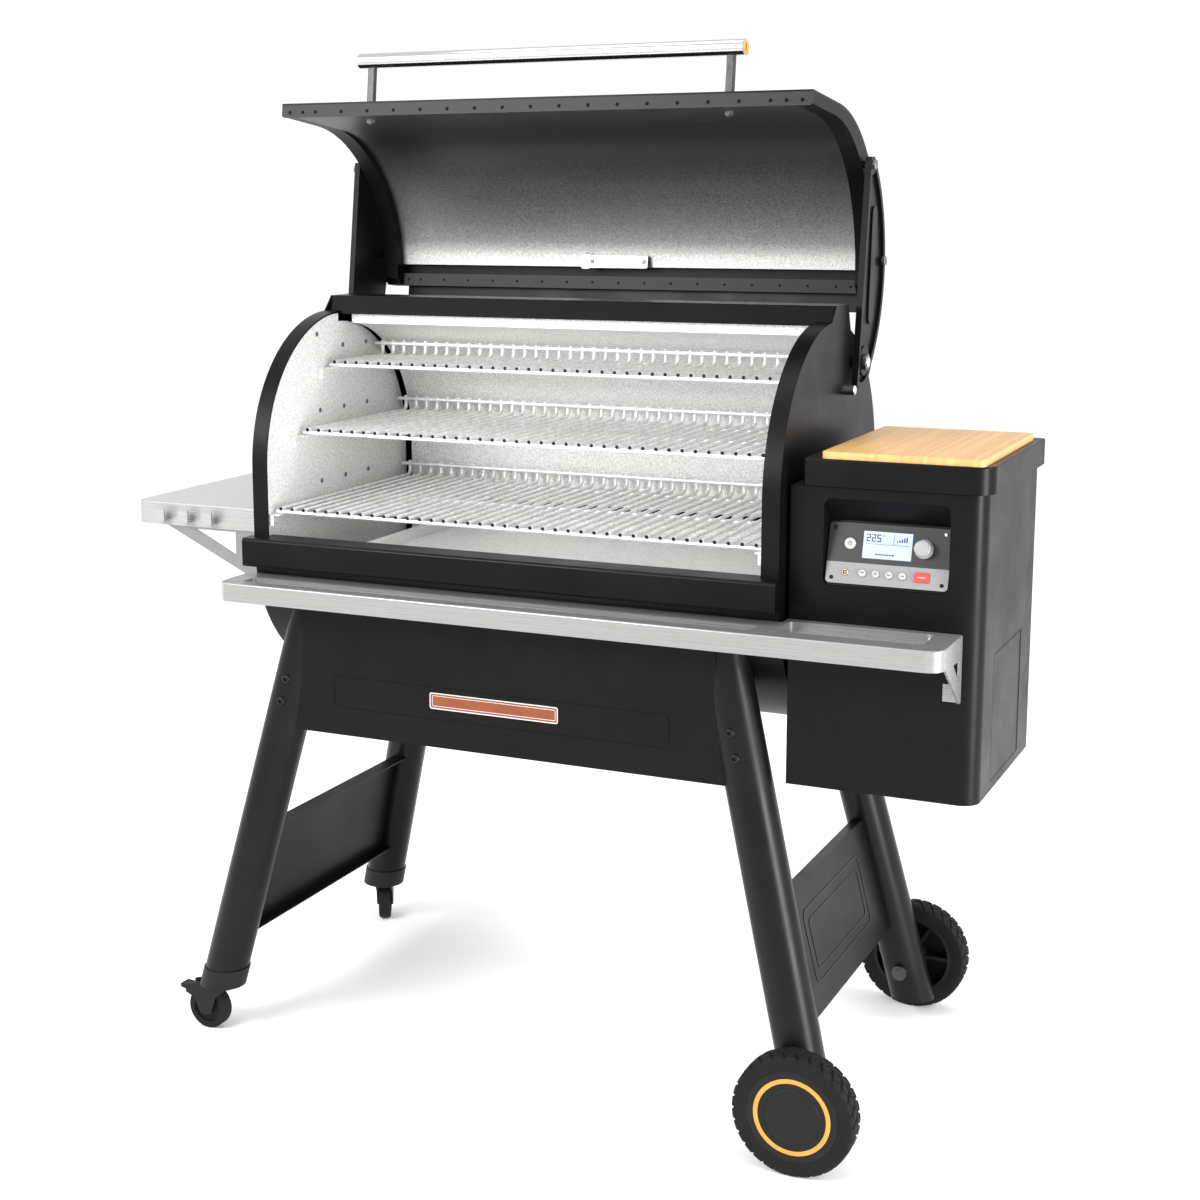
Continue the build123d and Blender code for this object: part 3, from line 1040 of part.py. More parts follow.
for name, side in (("front", -1), ("rear", 1)):
    wheel_face = Plane(origin=(WHEEL_X, side * WHEEL_IN_Y, WHEEL_R), x_dir=(1, 0, 0),
                       z_dir=(0, side, 0))
    width = WHEEL_OUT_Y - WHEEL_IN_Y
    with BuildPart() as tyre:
        with BuildSketch(wheel_face):
            Circle(WHEEL_R)
            Circle(TYRE_BORE, mode=Mode.SUBTRACT)
        extrude(amount=width)
        fillet(tyre.edges().filter_by(GeomType.CIRCLE).group_by(SortBy.RADIUS)[-1], 5)
    save(tyre, f"tyre_{name}")
    with BuildPart() as hub:
        # Rim, boss, web and six ribs inside
        with BuildSketch(wheel_face.offset(2)):
            Circle(TYRE_BORE)
            Circle(TYRE_BORE - 6, mode=Mode.SUBTRACT)
        extrude(amount=width - 4)
        with BuildSketch(wheel_face.offset(1)):
            Circle(22)
        extrude(amount=width - 7)
        with BuildSketch(wheel_face.offset(width - 10)):
            Circle(TYRE_BORE)
        extrude(amount=6)
        with BuildSketch(wheel_face.offset(6)):
            with PolarLocations((TYRE_BORE - 6 + 20) / 2, 6):
                Rectangle(TYRE_BORE - 6 - 20 + 4, 6)
        extrude(amount=width - 14)
        # Raised cap and ring seat outside
        with BuildSketch(wheel_face.offset(width - 5)):
            Circle(43)
            Circle(40, mode=Mode.SUBTRACT)
        extrude(amount=3)
        # Bore, and the nut's pocket behind the cap
        with BuildSketch(wheel_face):
            Circle(AXLE_R + RUNNING)
        extrude(amount=26, mode=Mode.SUBTRACT)
        with BuildSketch(wheel_face.offset(24.5)):
            Circle(14)
        extrude(amount=7.5, mode=Mode.SUBTRACT)
    save(hub, f"hub_{name}")

# ---------------------------------------------------------------- casters

for name, (side, heading) in CASTER_TURNS.items():
    swivel = (CASTER_X, side * CASTER_Y)
    trail = (cos(radians(heading)), sin(radians(heading)), 0)
    # Side view of the caster: local X along the trail, local Y up
    fork_side = Plane(origin=(*swivel, 0), x_dir=trail, z_dir=(trail[1], -trail[0], 0))
    with BuildPart() as fork:
        for cheek in (-1, 1):
            with BuildSketch(fork_side.offset(cheek * 13)):
                outline([(-14, FORK_TOP_Z), (44, FORK_TOP_Z), (70, 76), (70, 62), (52, 54),
                         (40, 29), (29, 26), (19, 29), (8, 60), (-14, 78)])
            extrude(amount=cheek * 3)
        with BuildSketch(Plane.XY.offset(FORK_TOP_Z - 5)):
            with Locations(swivel):
                Circle(24)
        extrude(amount=5)
        with BuildSketch(Plane.XY.offset(FORK_TOP_Z - 1)):
            with Locations(swivel):
                Circle(STEM_R)
        extrude(amount=27)
        for at, radius in (((CASTER_TRAIL, CASTER_R), 5.0), (LEVER_AT, 2.5)):
            with BuildSketch(fork_side.offset(-14)):
                with Locations(at):
                    Circle(radius)
            extrude(amount=28)
    save(fork, f"caster_fork_{name}")
    with BuildPart() as caster_wheel:
        with BuildSketch(fork_side.offset(-11)):
            with Locations((CASTER_TRAIL, CASTER_R)):
                Circle(CASTER_R)
        extrude(amount=22)
        fillet(caster_wheel.edges().filter_by(GeomType.CIRCLE), 3)
        with BuildSketch(fork_side.offset(-12)):
            with Locations((CASTER_TRAIL, CASTER_R)):
                Circle(5.0 + RUNNING)
        extrude(amount=24, mode=Mode.SUBTRACT)
        for face in (-1, 1):
            with BuildSketch(fork_side.offset(face * 12)):
                with Locations((CASTER_TRAIL, CASTER_R)):
                    Circle(26)
                    Circle(12, mode=Mode.SUBTRACT)
            extrude(amount=-face * 5, mode=Mode.SUBTRACT)
    save(caster_wheel, f"caster_wheel_{name}")
    with BuildPart() as brake_lever:
        with BuildSketch(fork_side.offset(-11)):
            with Locations(LEVER_AT):
                Circle(6)
            outline([(62, 72), (66, 62.5), (84, 67), (84, 73)])
        extrude(amount=22)
        with BuildSketch(fork_side.offset(-12)):
            with Locations(LEVER_AT):
                Circle(2.5 + RUNNING)
        extrude(amount=24, mode=Mode.SUBTRACT)
    save(brake_lever, f"brake_lever_{name}")
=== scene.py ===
"""Looks of the pellet smoker grill: materials, trim pieces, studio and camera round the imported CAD."""
import json
import math

import bmesh
import bpy
from mathutils import Matrix, Vector


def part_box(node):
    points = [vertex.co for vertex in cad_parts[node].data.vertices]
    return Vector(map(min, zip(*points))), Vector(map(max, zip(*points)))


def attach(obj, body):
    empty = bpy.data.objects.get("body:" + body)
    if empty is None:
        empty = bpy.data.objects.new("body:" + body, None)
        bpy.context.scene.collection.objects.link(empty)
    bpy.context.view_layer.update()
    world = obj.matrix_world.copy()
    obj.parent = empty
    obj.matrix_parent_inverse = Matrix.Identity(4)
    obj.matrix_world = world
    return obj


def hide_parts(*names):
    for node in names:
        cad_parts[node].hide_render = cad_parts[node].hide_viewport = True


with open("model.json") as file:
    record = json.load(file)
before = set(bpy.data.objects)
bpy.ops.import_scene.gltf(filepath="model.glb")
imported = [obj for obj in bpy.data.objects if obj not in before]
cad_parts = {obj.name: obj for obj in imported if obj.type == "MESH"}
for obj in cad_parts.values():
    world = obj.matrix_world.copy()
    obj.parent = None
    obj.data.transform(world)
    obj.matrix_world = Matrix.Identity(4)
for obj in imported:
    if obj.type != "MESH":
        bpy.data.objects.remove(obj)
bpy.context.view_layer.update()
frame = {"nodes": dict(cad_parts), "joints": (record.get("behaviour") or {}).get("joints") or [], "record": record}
NODES = frame["nodes"]
RECORD = frame["record"]
JOINTS = {joint["name"]: joint for joint in frame["joints"]}
MM = 0.001

# ---------------------------------------------------------------- materials


class Look:
    """A node material being wired up: every method returns the output socket of the node that it adds."""

    def __init__(self, name, color, **values):
        self.material = bpy.data.materials.new(name)
        self.material.use_nodes = True
        self.tree = self.material.node_tree
        self.shader = self.tree.nodes["Principled BSDF"]
        self.set("Base Color", (*color, 1.0))
        for socket, value in values.items():
            self.set(socket.replace("_", " ").title().replace("Ior", "IOR"), value)

    def set(self, socket, value):
        self.shader.inputs[socket].default_value = value

    def wire(self, output, socket):
        self.tree.links.new(output, self.shader.inputs[socket])

    def add(self, kind, inputs, **settings):
        node = self.tree.nodes.new(kind)
        for name, value in settings.items():
            setattr(node, name, value)
        for name, value in inputs.items():
            if isinstance(value, bpy.types.NodeSocket):
                self.tree.links.new(value, node.inputs[name])
            else:
                node.inputs[name].default_value = value
        return node

    def place(self, scale=(1, 1, 1), turn=(0, 0, 0)):
        coords = self.add("ShaderNodeTexCoord", {}).outputs["Object"]
        inputs = {"Vector": coords, "Scale": scale, "Rotation": turn}
        return self.add("ShaderNodeMapping", inputs).outputs["Vector"]

    def noise(self, scale=(1, 1, 1), size=1.0, detail=4.0, roughness=0.6, turn=(0, 0, 0)):
        place = self.place(scale, turn)
        inputs = {"Vector": place, "Scale": size, "Detail": detail, "Roughness": roughness}
        return self.add("ShaderNodeTexNoise", inputs).outputs["Fac"]

    def span(self, value, low, high, from_low=0.3, from_high=0.7):
        """The value carried from one range to another, by default from where most of a noise lies."""
        inputs = {"Value": value, "From Min": from_low, "From Max": from_high,
                  "To Min": low, "To Max": high}
        return self.add("ShaderNodeMapRange", inputs).outputs["Result"]

    def ramp(self, value, *stops):
        node = self.add("ShaderNodeValToRGB", {"Fac": value})
        while len(node.color_ramp.elements) < len(stops):
            node.color_ramp.elements.new(0.5)
        for element, (position, color) in zip(node.color_ramp.elements, stops):
            element.position = position
            element.color = (*color, 1.0)
        return node.outputs["Color"]

    def mix(self, factor, first, second):
        node = self.add("ShaderNodeMix", {}, data_type="RGBA")
        for socket, value in ((node.inputs[0], factor), (node.inputs[6], first), (node.inputs[7], second)):
            if isinstance(value, bpy.types.NodeSocket):
                self.tree.links.new(value, socket)
            else:
                socket.default_value = value if isinstance(value, float) else (*value, 1.0)
        return node.outputs[2]

    def math(self, operation, first, second=0.0):
        node = self.add("ShaderNodeMath", {}, operation=operation)
        for socket, value in zip(node.inputs, (first, second)):
            if isinstance(value, bpy.types.NodeSocket):
                self.tree.links.new(value, socket)
            else:
                socket.default_value = value
        return node.outputs[0]

    def bump(self, height, strength, distance):
        normal = self.add("ShaderNodeBump", {"Height": height, "Strength": strength, "Distance": distance})
        self.wire(normal.outputs["Normal"], "Normal")


def shade(color, factor):
    """The colour made lighter or darker."""
    return tuple(min(1.0, channel * factor) for channel in color)


def powder_coat(name, color, roughness, gloss):
    """Satin powder coat: fine orange peel, slightly uneven gloss, and a few lighter dust-like flecks."""
    look = Look(name, color, Specular_Ior_Level=gloss)
    cloud = look.noise(size=9.0, detail=3.0)
    fleck = look.noise(size=900.0, detail=2.0)
    tone = look.ramp(cloud, (0.3, shade(color, 0.8)), (0.7, shade(color, 1.25)))
    look.wire(look.mix(look.span(fleck, 0.0, 0.35, 0.5, 0.8), tone, shade(color, 2.6)), "Base Color")
    look.wire(look.span(cloud, roughness - 0.05, roughness + 0.06), "Roughness")
    look.bump(look.noise(size=420.0, detail=3.0), 0.25, 0.0003)
    return look.material


def brushed(name, color, scale, roughness=0.3):
    """Brushed stainless steel: long fine scratches, drawn out along the axis with the small scale."""
    look = Look(name, color, Metallic=0.5)
    scratch = look.noise(scale=scale, size=1.0, detail=8.0, roughness=0.75)
    cloud = look.noise(size=5.0, detail=2.0)
    tone = look.ramp(scratch, (0.3, shade(color, 0.87)), (0.7, shade(color, 1.08)))
    look.wire(look.mix(look.span(cloud, 0.0, 0.25), tone, shade(color, 1.1)), "Base Color")
    look.wire(look.span(scratch, roughness - 0.08, roughness + 0.12), "Roughness")
    look.bump(scratch, 0.12, 0.0004)
    return look.material


# Painted shade on the lid's liner: how dark it gets, from none at its lower edge (0) to most at its top (1)
LID_SHADE_RAMP = [(0.0, 0.0), (0.12, 0.40), (0.62, 0.55), (1.0, 0.92)]


def mill_finish(name, color, roughness=0.34, metallic=1.0, shade_heights=None):
    """Sheet stainless of the liner: close bright and grey grain, with faint clouds of heat tint.

    The last argument, when given, is the pair of heights between which painted shade darkens the sheet, from none
    to darkest.
    """
    look = Look(name, color, Metallic=metallic)
    grain = look.noise(size=330.0, detail=6.0, roughness=0.85)
    cloud = look.noise(size=4.0, detail=3.0)
    tone = look.ramp(grain, (0.38, shade(color, 0.55)), (0.62, shade(color, 1.16)))
    tone = look.mix(look.span(cloud, 0.0, 0.16), tone, shade(color, 0.9))
    # Painted shade: the sheet darkens up through the given heights
    if shade_heights:
        parts = look.add("ShaderNodeSeparateXYZ", {"Vector": look.place()})
        rise = look.span(parts.outputs["Z"], 0.0, 1.0, *shade_heights)
        painted_shade = look.ramp(rise, *[(height, (amount,) * 3) for height, amount in LID_SHADE_RAMP])
        tone = look.mix(painted_shade, tone, shade(color, 0.035))
    look.wire(tone, "Base Color")
    look.wire(look.span(grain, roughness - 0.08, roughness + 0.14), "Roughness")
    look.bump(grain, 0.2, 0.0004)
    return look.material


def bright_wire(name, color):
    """Drawn bright wire of the grates, with faint draw lines and dull spots."""
    look = Look(name, color, Metallic=0.55)
    spot = look.noise(size=70.0, detail=4.0)
    look.wire(look.ramp(spot, (0.35, shade(color, 0.82)), (0.7, shade(color, 1.1))), "Base Color")
    look.wire(look.span(spot, 0.34, 0.5), "Roughness")
    look.bump(look.noise(scale=(900, 6, 900), size=1.0), 0.08, 0.0002)
    return look.material


def polished(name, color):
    """Polished stainless tube of the handle, with hairline marks along it."""
    look = Look(name, color, Metallic=1.0)
    hair = look.noise(scale=(3, 700, 700), size=1.0, detail=6.0)
    look.wire(look.ramp(hair, (0.3, shade(color, 0.93)), (0.7, shade(color, 1.05))), "Base Color")
    look.wire(look.span(hair, 0.07, 0.2), "Roughness")
    return look.material


def plated(name, color):
    """Dulled plated steel of bolts, pins and the firing parts."""
    look = Look(name, color, Metallic=1.0)
    stain = look.noise(size=120.0, detail=6.0)
    look.wire(look.ramp(stain, (0.3, shade(color, 0.6)), (0.7, shade(color, 1.4))), "Base Color")
    look.wire(look.span(stain, 0.32, 0.55), "Roughness")
    look.bump(stain, 0.15, 0.0003)
    return look.material


def moulded(name, color, roughness, grain=800.0, specular=0.4):
    """Injection-moulded plastic with a fine spark texture."""
    look = Look(name, color, Specular_Ior_Level=specular)
    texture = look.noise(size=grain, detail=3.0)
    cloud = look.noise(size=25.0, detail=2.0)
    look.wire(look.ramp(cloud, (0.3, shade(color, 0.9)), (0.7, shade(color, 1.12))), "Base Color")
    look.wire(look.span(texture, roughness - 0.06, roughness + 0.06), "Roughness")
    look.bump(texture, 0.15, 0.0002)
    return look.material


def rubber(name, color):
    """Matt tyre rubber, a little dusty in the grooves."""
    look = Look(name, color, Specular_Ior_Level=0.18, Roughness=0.7)
    dust = look.noise(size=60.0, detail=6.0)
    look.wire(look.ramp(dust, (0.35, shade(color, 0.8)), (0.75, shade(color, 1.7))), "Base Color")
    look.wire(look.span(dust, 0.6, 0.82), "Roughness")
    look.bump(look.noise(size=700.0, detail=3.0), 0.3, 0.0003)
    return look.material


BAMBOO_STRIP = 6.5 * MM


def bamboo(name, color):
    """Laminated bamboo: narrow strips along Y, each its own tone, with fibre lines and pale blotches."""
    look = Look(name, color, Specular_Ior_Level=0.35, Coat_Weight=0.1, Coat_Roughness=0.3)
    place = look.place()
    parts = look.add("ShaderNodeSeparateXYZ", {"Vector": place})
    strip = look.math("FLOOR", look.math("DIVIDE", parts.outputs["X"], BAMBOO_STRIP))
    tone = look.add("ShaderNodeTexWhiteNoise", {"W": strip}, noise_dimensions="1D").outputs["Value"]
    fibre = look.noise(scale=(1500, 22, 1500), size=1.0, detail=6.0, roughness=0.7)
    blotch = look.noise(scale=(160, 34, 160), size=1.0, detail=4.0)
    base = look.ramp(tone, (0.0, shade(color, 0.86)), (0.5, color), (1.0, shade(color, 1.16)))
    lined = look.mix(look.span(fibre, 0.0, 0.42), base, shade(color, 0.62))
    look.wire(look.mix(look.span(blotch, 0.0, 0.3, 0.5, 0.75), lined, shade(color, 1.3)), "Base Color")
    look.wire(look.span(fibre, 0.36, 0.52), "Roughness")
    look.bump(fibre, 0.2, 0.0004)
    return look.material


def lit_screen(name, color):
    """Backlit display: pale, a little bluer towards one end, with the pixel grid just visible."""
    look = Look(name, color, Roughness=0.25, Emission_Strength=0.18)
    drift = look.noise(size=14.0, detail=1.0)
    tone = look.ramp(drift, (0.35, shade(color, 1.1)), (0.65, shade(color, 0.86)))
    look.wire(tone, "Base Color")
    look.wire(tone, "Emission Color")
    look.bump(look.noise(size=1400.0, detail=1.0), 0.1, 0.0001)
    return look.material


def two_tone_panel(name, upper, lower):
    """Controller face: charcoal above, silver strip below, split by height up the tilted face."""
    look = Look(name, upper, Specular_Ior_Level=0.4)
    grain = look.noise(size=900.0, detail=3.0)
    place = look.place()
    height = look.add("ShaderNodeVectorMath", {0: place, 1: tuple(PANEL_UP)}, operation="DOT_PRODUCT")
    split = PANEL_CENTRE.dot(PANEL_UP) + PANEL_SPLIT
    below = look.math("LESS_THAN", height.outputs["Value"], split)
    front = look.add("ShaderNodeVectorMath", {0: place, 1: tuple(PANEL_OUT)}, operation="DOT_PRODUCT")
    outside = look.math("GREATER_THAN", front.outputs["Value"], PANEL_CENTRE.dot(PANEL_OUT) - 1.2 * MM)
    dark = look.ramp(grain, (0.3, shade(upper, 0.85)), (0.7, shade(upper, 1.2)))
    light = look.ramp(grain, (0.3, shade(lower, 0.93)), (0.7, shade(lower, 1.05)))
    look.wire(look.mix(look.math("MULTIPLY", below, outside), dark, light), "Base Color")
    look.wire(look.span(grain, 0.38, 0.5), "Roughness")
    look.bump(grain, 0.1, 0.0002)
    return look.material


# The controller's tilted face, from the knob's joint: its axis is the face's outward direction
PANEL_OUT = Vector(JOINTS["knob_turn"]["axis"]).normalized()
PANEL_UP = Vector((0.0, PANEL_OUT.z, -PANEL_OUT.y))
PANEL_ACROSS = Vector((1.0, 0.0, 0.0))
KNOB_AT = Vector((52.0, 13.5, 12.0)) * MM
PANEL_FACE = 4.0 * MM
PANEL_SPLIT = -13.5 * MM
PANEL_CENTRE = (Vector(JOINTS["knob_turn"]["pos_m"]) - PANEL_ACROSS * KNOB_AT.x - PANEL_UP * KNOB_AT.y
                - PANEL_OUT * (KNOB_AT.z - PANEL_FACE))
PANEL_TURN = Matrix((PANEL_ACROSS, PANEL_UP, PANEL_OUT)).transposed().to_4x4()
PANEL_FRAME = Matrix.Translation(PANEL_CENTRE) @ PANEL_TURN

LOOKS = {
    "black_paint": powder_coat("black_powder_coat", (0.0028, 0.0028, 0.0030), 0.36, 0.13),
    "leg_paint": powder_coat("leg_powder_coat", (0.004, 0.004, 0.0043), 0.32, 0.17),
    "brushed_stainless": brushed("brushed_steel_lengthwise", (0.42, 0.42, 0.415), (5, 900, 900), 0.25),
    "liner_stainless": mill_finish("liner_mill_finish", (0.85, 0.85, 0.84), 0.42, metallic=0.3),
    "polished_stainless": polished("polished_steel", (0.58, 0.58, 0.575)),
    "grate_stainless": bright_wire("bright_wire", (0.93, 0.93, 0.92)),
    "bamboo": bamboo("bamboo_laminate", (0.68, 0.38, 0.14)),
    "black_plastic": moulded("black_moulding", (0.006, 0.006, 0.0064), 0.5, specular=0.22),
    "panel": two_tone_panel("controller_face", (0.022, 0.022, 0.023), (0.25, 0.25, 0.255)),
    "silver_plastic": moulded("silver_moulding", (0.44, 0.44, 0.44), 0.3, grain=500.0, specular=0.5),
    "red_plastic": moulded("red_moulding", (0.72, 0.055, 0.045), 0.35, grain=500.0, specular=0.5),
    "lcd": lit_screen("lit_display", (0.40, 0.46, 0.55)),
    "tyre_rubber": rubber("tyre_rubber", (0.006, 0.006, 0.006)),
    "dark_steel": plated("plated_steel", (0.19, 0.19, 0.20)),
}
ACCENT = moulded("accent_orange", (0.62, 0.27, 0.04), 0.4, grain=500.0)
COPPER = moulded("copper_face", (0.21, 0.046, 0.010), 0.3, grain=500.0, specular=0.5)
BRIGHT = polished("bright_trim", (0.86, 0.86, 0.85))
INK = moulded("dark_print", (0.02, 0.02, 0.03), 0.5)
DISPLAY_INK = moulded("display_print", (0.012, 0.016, 0.07), 0.5)
NUT_STEEL = plated("bright_bolt_steel", (0.72, 0.72, 0.71))
TAG_STEEL = mill_finish("tag_steel", (0.17, 0.17, 0.17), 0.3)
KNOB_GREY = moulded("knob_grey", (0.30, 0.30, 0.30), 0.3, grain=500.0, specular=0.5)
DOT = moulded("blackened_screw", (0.0025, 0.0025, 0.0025), 0.6, specular=0.1)
POST_STEEL = plated("dull_post_steel", (0.07, 0.07, 0.072))
# Painted shade: a darker copy of the brushed steel, for the front shelf
SHADED_SHELF_STEEL = brushed("shelf_steel_painted_shade", (0.31, 0.31, 0.305), (5, 900, 900), 0.25)
BRACKET_STEEL = brushed("bracket_steel", (0.24, 0.24, 0.235), (5, 900, 900), 0.3)
TRAY_STEEL = mill_finish("tray_steel", (0.84, 0.84, 0.83), 0.36, metallic=0.4)

for subpart in RECORD["subparts"]:
    node = NODES[subpart["node"]]
    node.data.materials.clear()
    node.data.materials.append(LOOKS[subpart["material_slot"]])
LID_LINER_LOW, LID_LINER_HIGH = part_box("lid_liner")
# Heights of the painted shade on the lid's liner, darker towards its top
LID_SHADE_HEIGHTS = (LID_LINER_LOW.z + 20 * MM, LID_LINER_HIGH.z - 40 * MM)
NODE_LOOKS = {
    "lid_liner": mill_finish("lid_liner_painted_shade", (0.60, 0.60, 0.59), 0.40, shade_heights=LID_SHADE_HEIGHTS),
    "drip_tray": TRAY_STEEL,
    "handle_mounts": POST_STEEL,
    "axles": POST_STEEL,
    "side_brackets": BRACKET_STEEL,
    "front_shelf": SHADED_SHELF_STEEL,
}
for node_name, node_look in NODE_LOOKS.items():
    NODES[node_name].data.materials[0] = node_look

# ---------------------------------------------------------------- mesh helpers


def piece(name, bm, material, body, smooth=40.0):
    """Finish a bmesh as a named piece that rides on a body."""
    bmesh.ops.recalc_face_normals(bm, faces=bm.faces)
    mesh = bpy.data.meshes.new(name)
    bm.to_mesh(mesh)
    bm.free()
    for polygon in mesh.polygons:
        polygon.use_smooth = True
    mesh.set_sharp_from_angle(angle=math.radians(smooth))
    made = bpy.data.objects.new(name, mesh)
    made.data.materials.append(material)
    bpy.context.scene.collection.objects.link(made)
    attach(made, body)
    return made


def facing(at, direction, up=(0, 0, 1)):
    """Local frame at a point: Z along the direction, Y as near to up as it can be."""
    out = Vector(direction).normalized()
    across = Vector(up).cross(out)
    if across.length < 1e-6:
        across = Vector((1, 0, 0))
    across.normalize()
    return Matrix.Translation(Vector(at)) @ Matrix((across, out.cross(across), out)).transposed().to_4x4()


def mm(profile):
    """A profile in millimetres, in metres."""
    return [(first * MM, second * MM) for first, second in profile]


def skin(bm, rings):
    """Faces between each ring of points and the next; a ring of one point closes a cap."""
    for lower, upper in zip(rings, rings[1:]):
        count = max(len(lower), len(upper))
        for k in range(count):
            after = (k + 1) % count
            corners = [lower[k % len(lower)], lower[after % len(lower)],
                       upper[after % len(upper)], upper[k % len(upper)]]
            bm.faces.new(list(dict.fromkeys(corners)))


def lathe(bm, place, profile, steps=32, flutes=0, depth=0.0):
    """Turn a profile of (radius, height) about the local Z; it closes on the axis where the radius is 0.

    With flutes, every ring is cut in by up to the depth, as on a knob's grip.
    """
    rings = []
    for radius, height in profile:
        if radius == 0:
            rings.append([bm.verts.new(place @ Vector((0, 0, height)))])
            continue
        ring = []
        for k in range(steps):
            angle = 2 * math.pi * k / steps
            reach = radius - depth * (0.5 + 0.5 * math.cos(flutes * angle)) if flutes else radius
            point = Vector((reach * math.cos(angle), reach * math.sin(angle), height))
            ring.append(bm.verts.new(place @ point))
        rings.append(ring)
    skin(bm, rings)


def rounded_loop(width, height, radius, steps=6):
    """Points of a rectangle with rounded corners, centred, counter-clockwise."""
    points = []
    for quarter in range(4):
        centre_x = (width / 2 - radius) * (1 if quarter in (0, 3) else -1)
        centre_y = (height / 2 - radius) * (1 if quarter in (0, 1) else -1)
        for k in range(steps + 1):
            angle = math.pi / 2 * (quarter + k / steps)
            points.append((centre_x + radius * math.cos(angle), centre_y + radius * math.sin(angle)))
    return points


def prism(bm, place, loop, low, high, bevel=0.0):
    """Solid plate of an outline between two heights, its top edge bevelled."""
    centre_x = sum(x for x, _ in loop) / len(loop)
    centre_y = sum(y for _, y in loop) / len(loop)
    reach = max(max(abs(x - centre_x), abs(y - centre_y)) for x, y in loop)
    shrink = 1.0 - bevel / reach
    layers = [(low, 1.0), (high - bevel, 1.0), (high, shrink)] if bevel else [(low, 1.0), (high, 1.0)]
    rings = []
    for z, grow in layers:
        grown = [(centre_x + (x - centre_x) * grow, centre_y + (y - centre_y) * grow) for x, y in loop]
        rings.append([bm.verts.new(place @ Vector((x, y, z))) for x, y in grown])
    skin(bm, rings)
    bm.faces.new(list(reversed(rings[0])))
    bm.faces.new(rings[-1])


def bar(bm, place, low, high, height, bevel=0.0):
    """Small rectangular plate between two local corners, standing from local Z 0 up to a height."""
    (x0, y0), (x1, y1) = low, high
    prism(bm, place, [(x0, y0), (x1, y0), (x1, y1), (x0, y1)], 0.0, height, bevel)


def frame_plate(bm, place, width, height, radius, wall, low, high):
    """Raised border: a rounded rectangle with a rounded hole."""
    ring_plate(bm, place, rounded_loop(width, height, radius),
               rounded_loop(width - 2 * wall, height - 2 * wall, max(radius - wall, 0.2 * MM)), low, high)


def ring_plate(bm, place, outer, inner, low, high):
    """Flat plate between two outlines that have the same number of points."""
    rings = [[bm.verts.new(place @ Vector((x, y, z))) for x, y in loop]
             for loop, z in ((outer, low), (outer, high), (inner, high), (inner, low))]
    skin(bm, rings + rings[:1])


def dome(radius, height, steps=5):
    """Profile of a rivet or button head, from its rim up to the middle."""
    turns = [math.pi / 2 * k / steps for k in range(steps)]
    crown = [(radius * math.cos(turn), height * (0.25 + 0.75 * math.sin(turn))) for turn in turns]
    return [(radius, 0.0)] + crown + [(0, height)]


def socket_head(radius, height):
    """Profile of a button head with a driving recess in the middle."""
    return [(radius, 0.0), (radius, 0.25 * height), (0.85 * radius, 0.7 * height), (0.55 * radius, height),
            (0.42 * radius, height), (0.40 * radius, 0.35 * height), (0, 0.35 * height)]


# ---------------------------------------------------------------- the lid, measured as if closed

LID_JOINT = JOINTS["lid_hinge"]
PIVOT = Vector(LID_JOINT["pos_m"])
OPENING = (Matrix.Translation(PIVOT) @ Matrix.Rotation(-math.radians(LID_JOINT["range_deg"][1]), 4, "X")
           @ Matrix.Translation(-PIVOT))


def closed_box(name):
    """Lowest and highest corner of a lid node, with the lid turned shut."""
    shut = OPENING.inverted()
    points = [shut @ vertex.co for vertex in NODES[name].data.vertices]
    low = Vector([min(p[i] for p in points) for i in range(3)])
    high = Vector([max(p[i] for p in points) for i in range(3)])
    return low, high


SKIN_LOW, SKIN_HIGH = closed_box("lid_skin")
FLANGE_LOW, FLANGE_HIGH = closed_box("lid_frame")
REAR_FLANGE_Z = 1264.0 * MM
REAR_RIVET_Y = -11 * MM
FRONT_RIVET_INSET = 15 * MM
RIVET_END = SKIN_HIGH.x - 16 * MM
RIVET_GAPS = 18
RIVET_STEP = 2 * RIVET_END / RIVET_GAPS


def rivet_row():
    """Rivet places along a flange: the two steps at each end are half steps."""
    middle = [-RIVET_END + RIVET_STEP * k for k in range(1, RIVET_GAPS)]
    ends = [RIVET_END - RIVET_STEP / 2 * k for k in range(2)]
    return sorted(middle + ends + [-x for x in ends])


def flange_rivets():
    """Dark dots along the lid's front and rear flanges, drawn on the shut lid and opened with it."""
    bm = bmesh.new()
    for x in rivet_row():
        front_at = (x, SKIN_LOW.y + FRONT_RIVET_INSET, SKIN_LOW.z)
        front = OPENING @ facing(front_at, (0, 0, -1), (0, 1, 0))
        lathe(bm, front, dome(3.0 * MM, 0.9 * MM), 16)
        rear = OPENING @ facing((x, REAR_RIVET_Y, REAR_FLANGE_Z), (0, 0, -1), (0, 1, 0))
        lathe(bm, rear, dome(2.2 * MM, 0.8 * MM), 16)
    piece("lid_rivets", bm, DOT, "lid")


TAG_AT = Vector((0, 214.5, 1323)) * MM
TAG_FACING = (0, -1, 0.17)


def lid_tag():
    """Blank plate inside the lid, with its two screws and a wider end."""
    bm = bmesh.new()
    place = facing(TAG_AT, TAG_FACING)
    plate = rounded_loop(118 * MM, 22 * MM, 3 * MM)
    prism(bm, place, plate, 0.0, 1.2 * MM, 0.4 * MM)
    end = rounded_loop(18 * MM, 26 * MM, 4 * MM)
    prism(bm, place @ Matrix.Translation((-58 * MM, 0, 0)), end, 0.0, 1.5 * MM, 0.4 * MM)
    for x in (-46, 52):
        lathe(bm, place @ Matrix.Translation((x * MM, 0, 1.2 * MM)), socket_head(3.2 * MM, 1.6 * MM), 20)
    piece("lid_tag_plate", bm, TAG_STEEL, "lid")


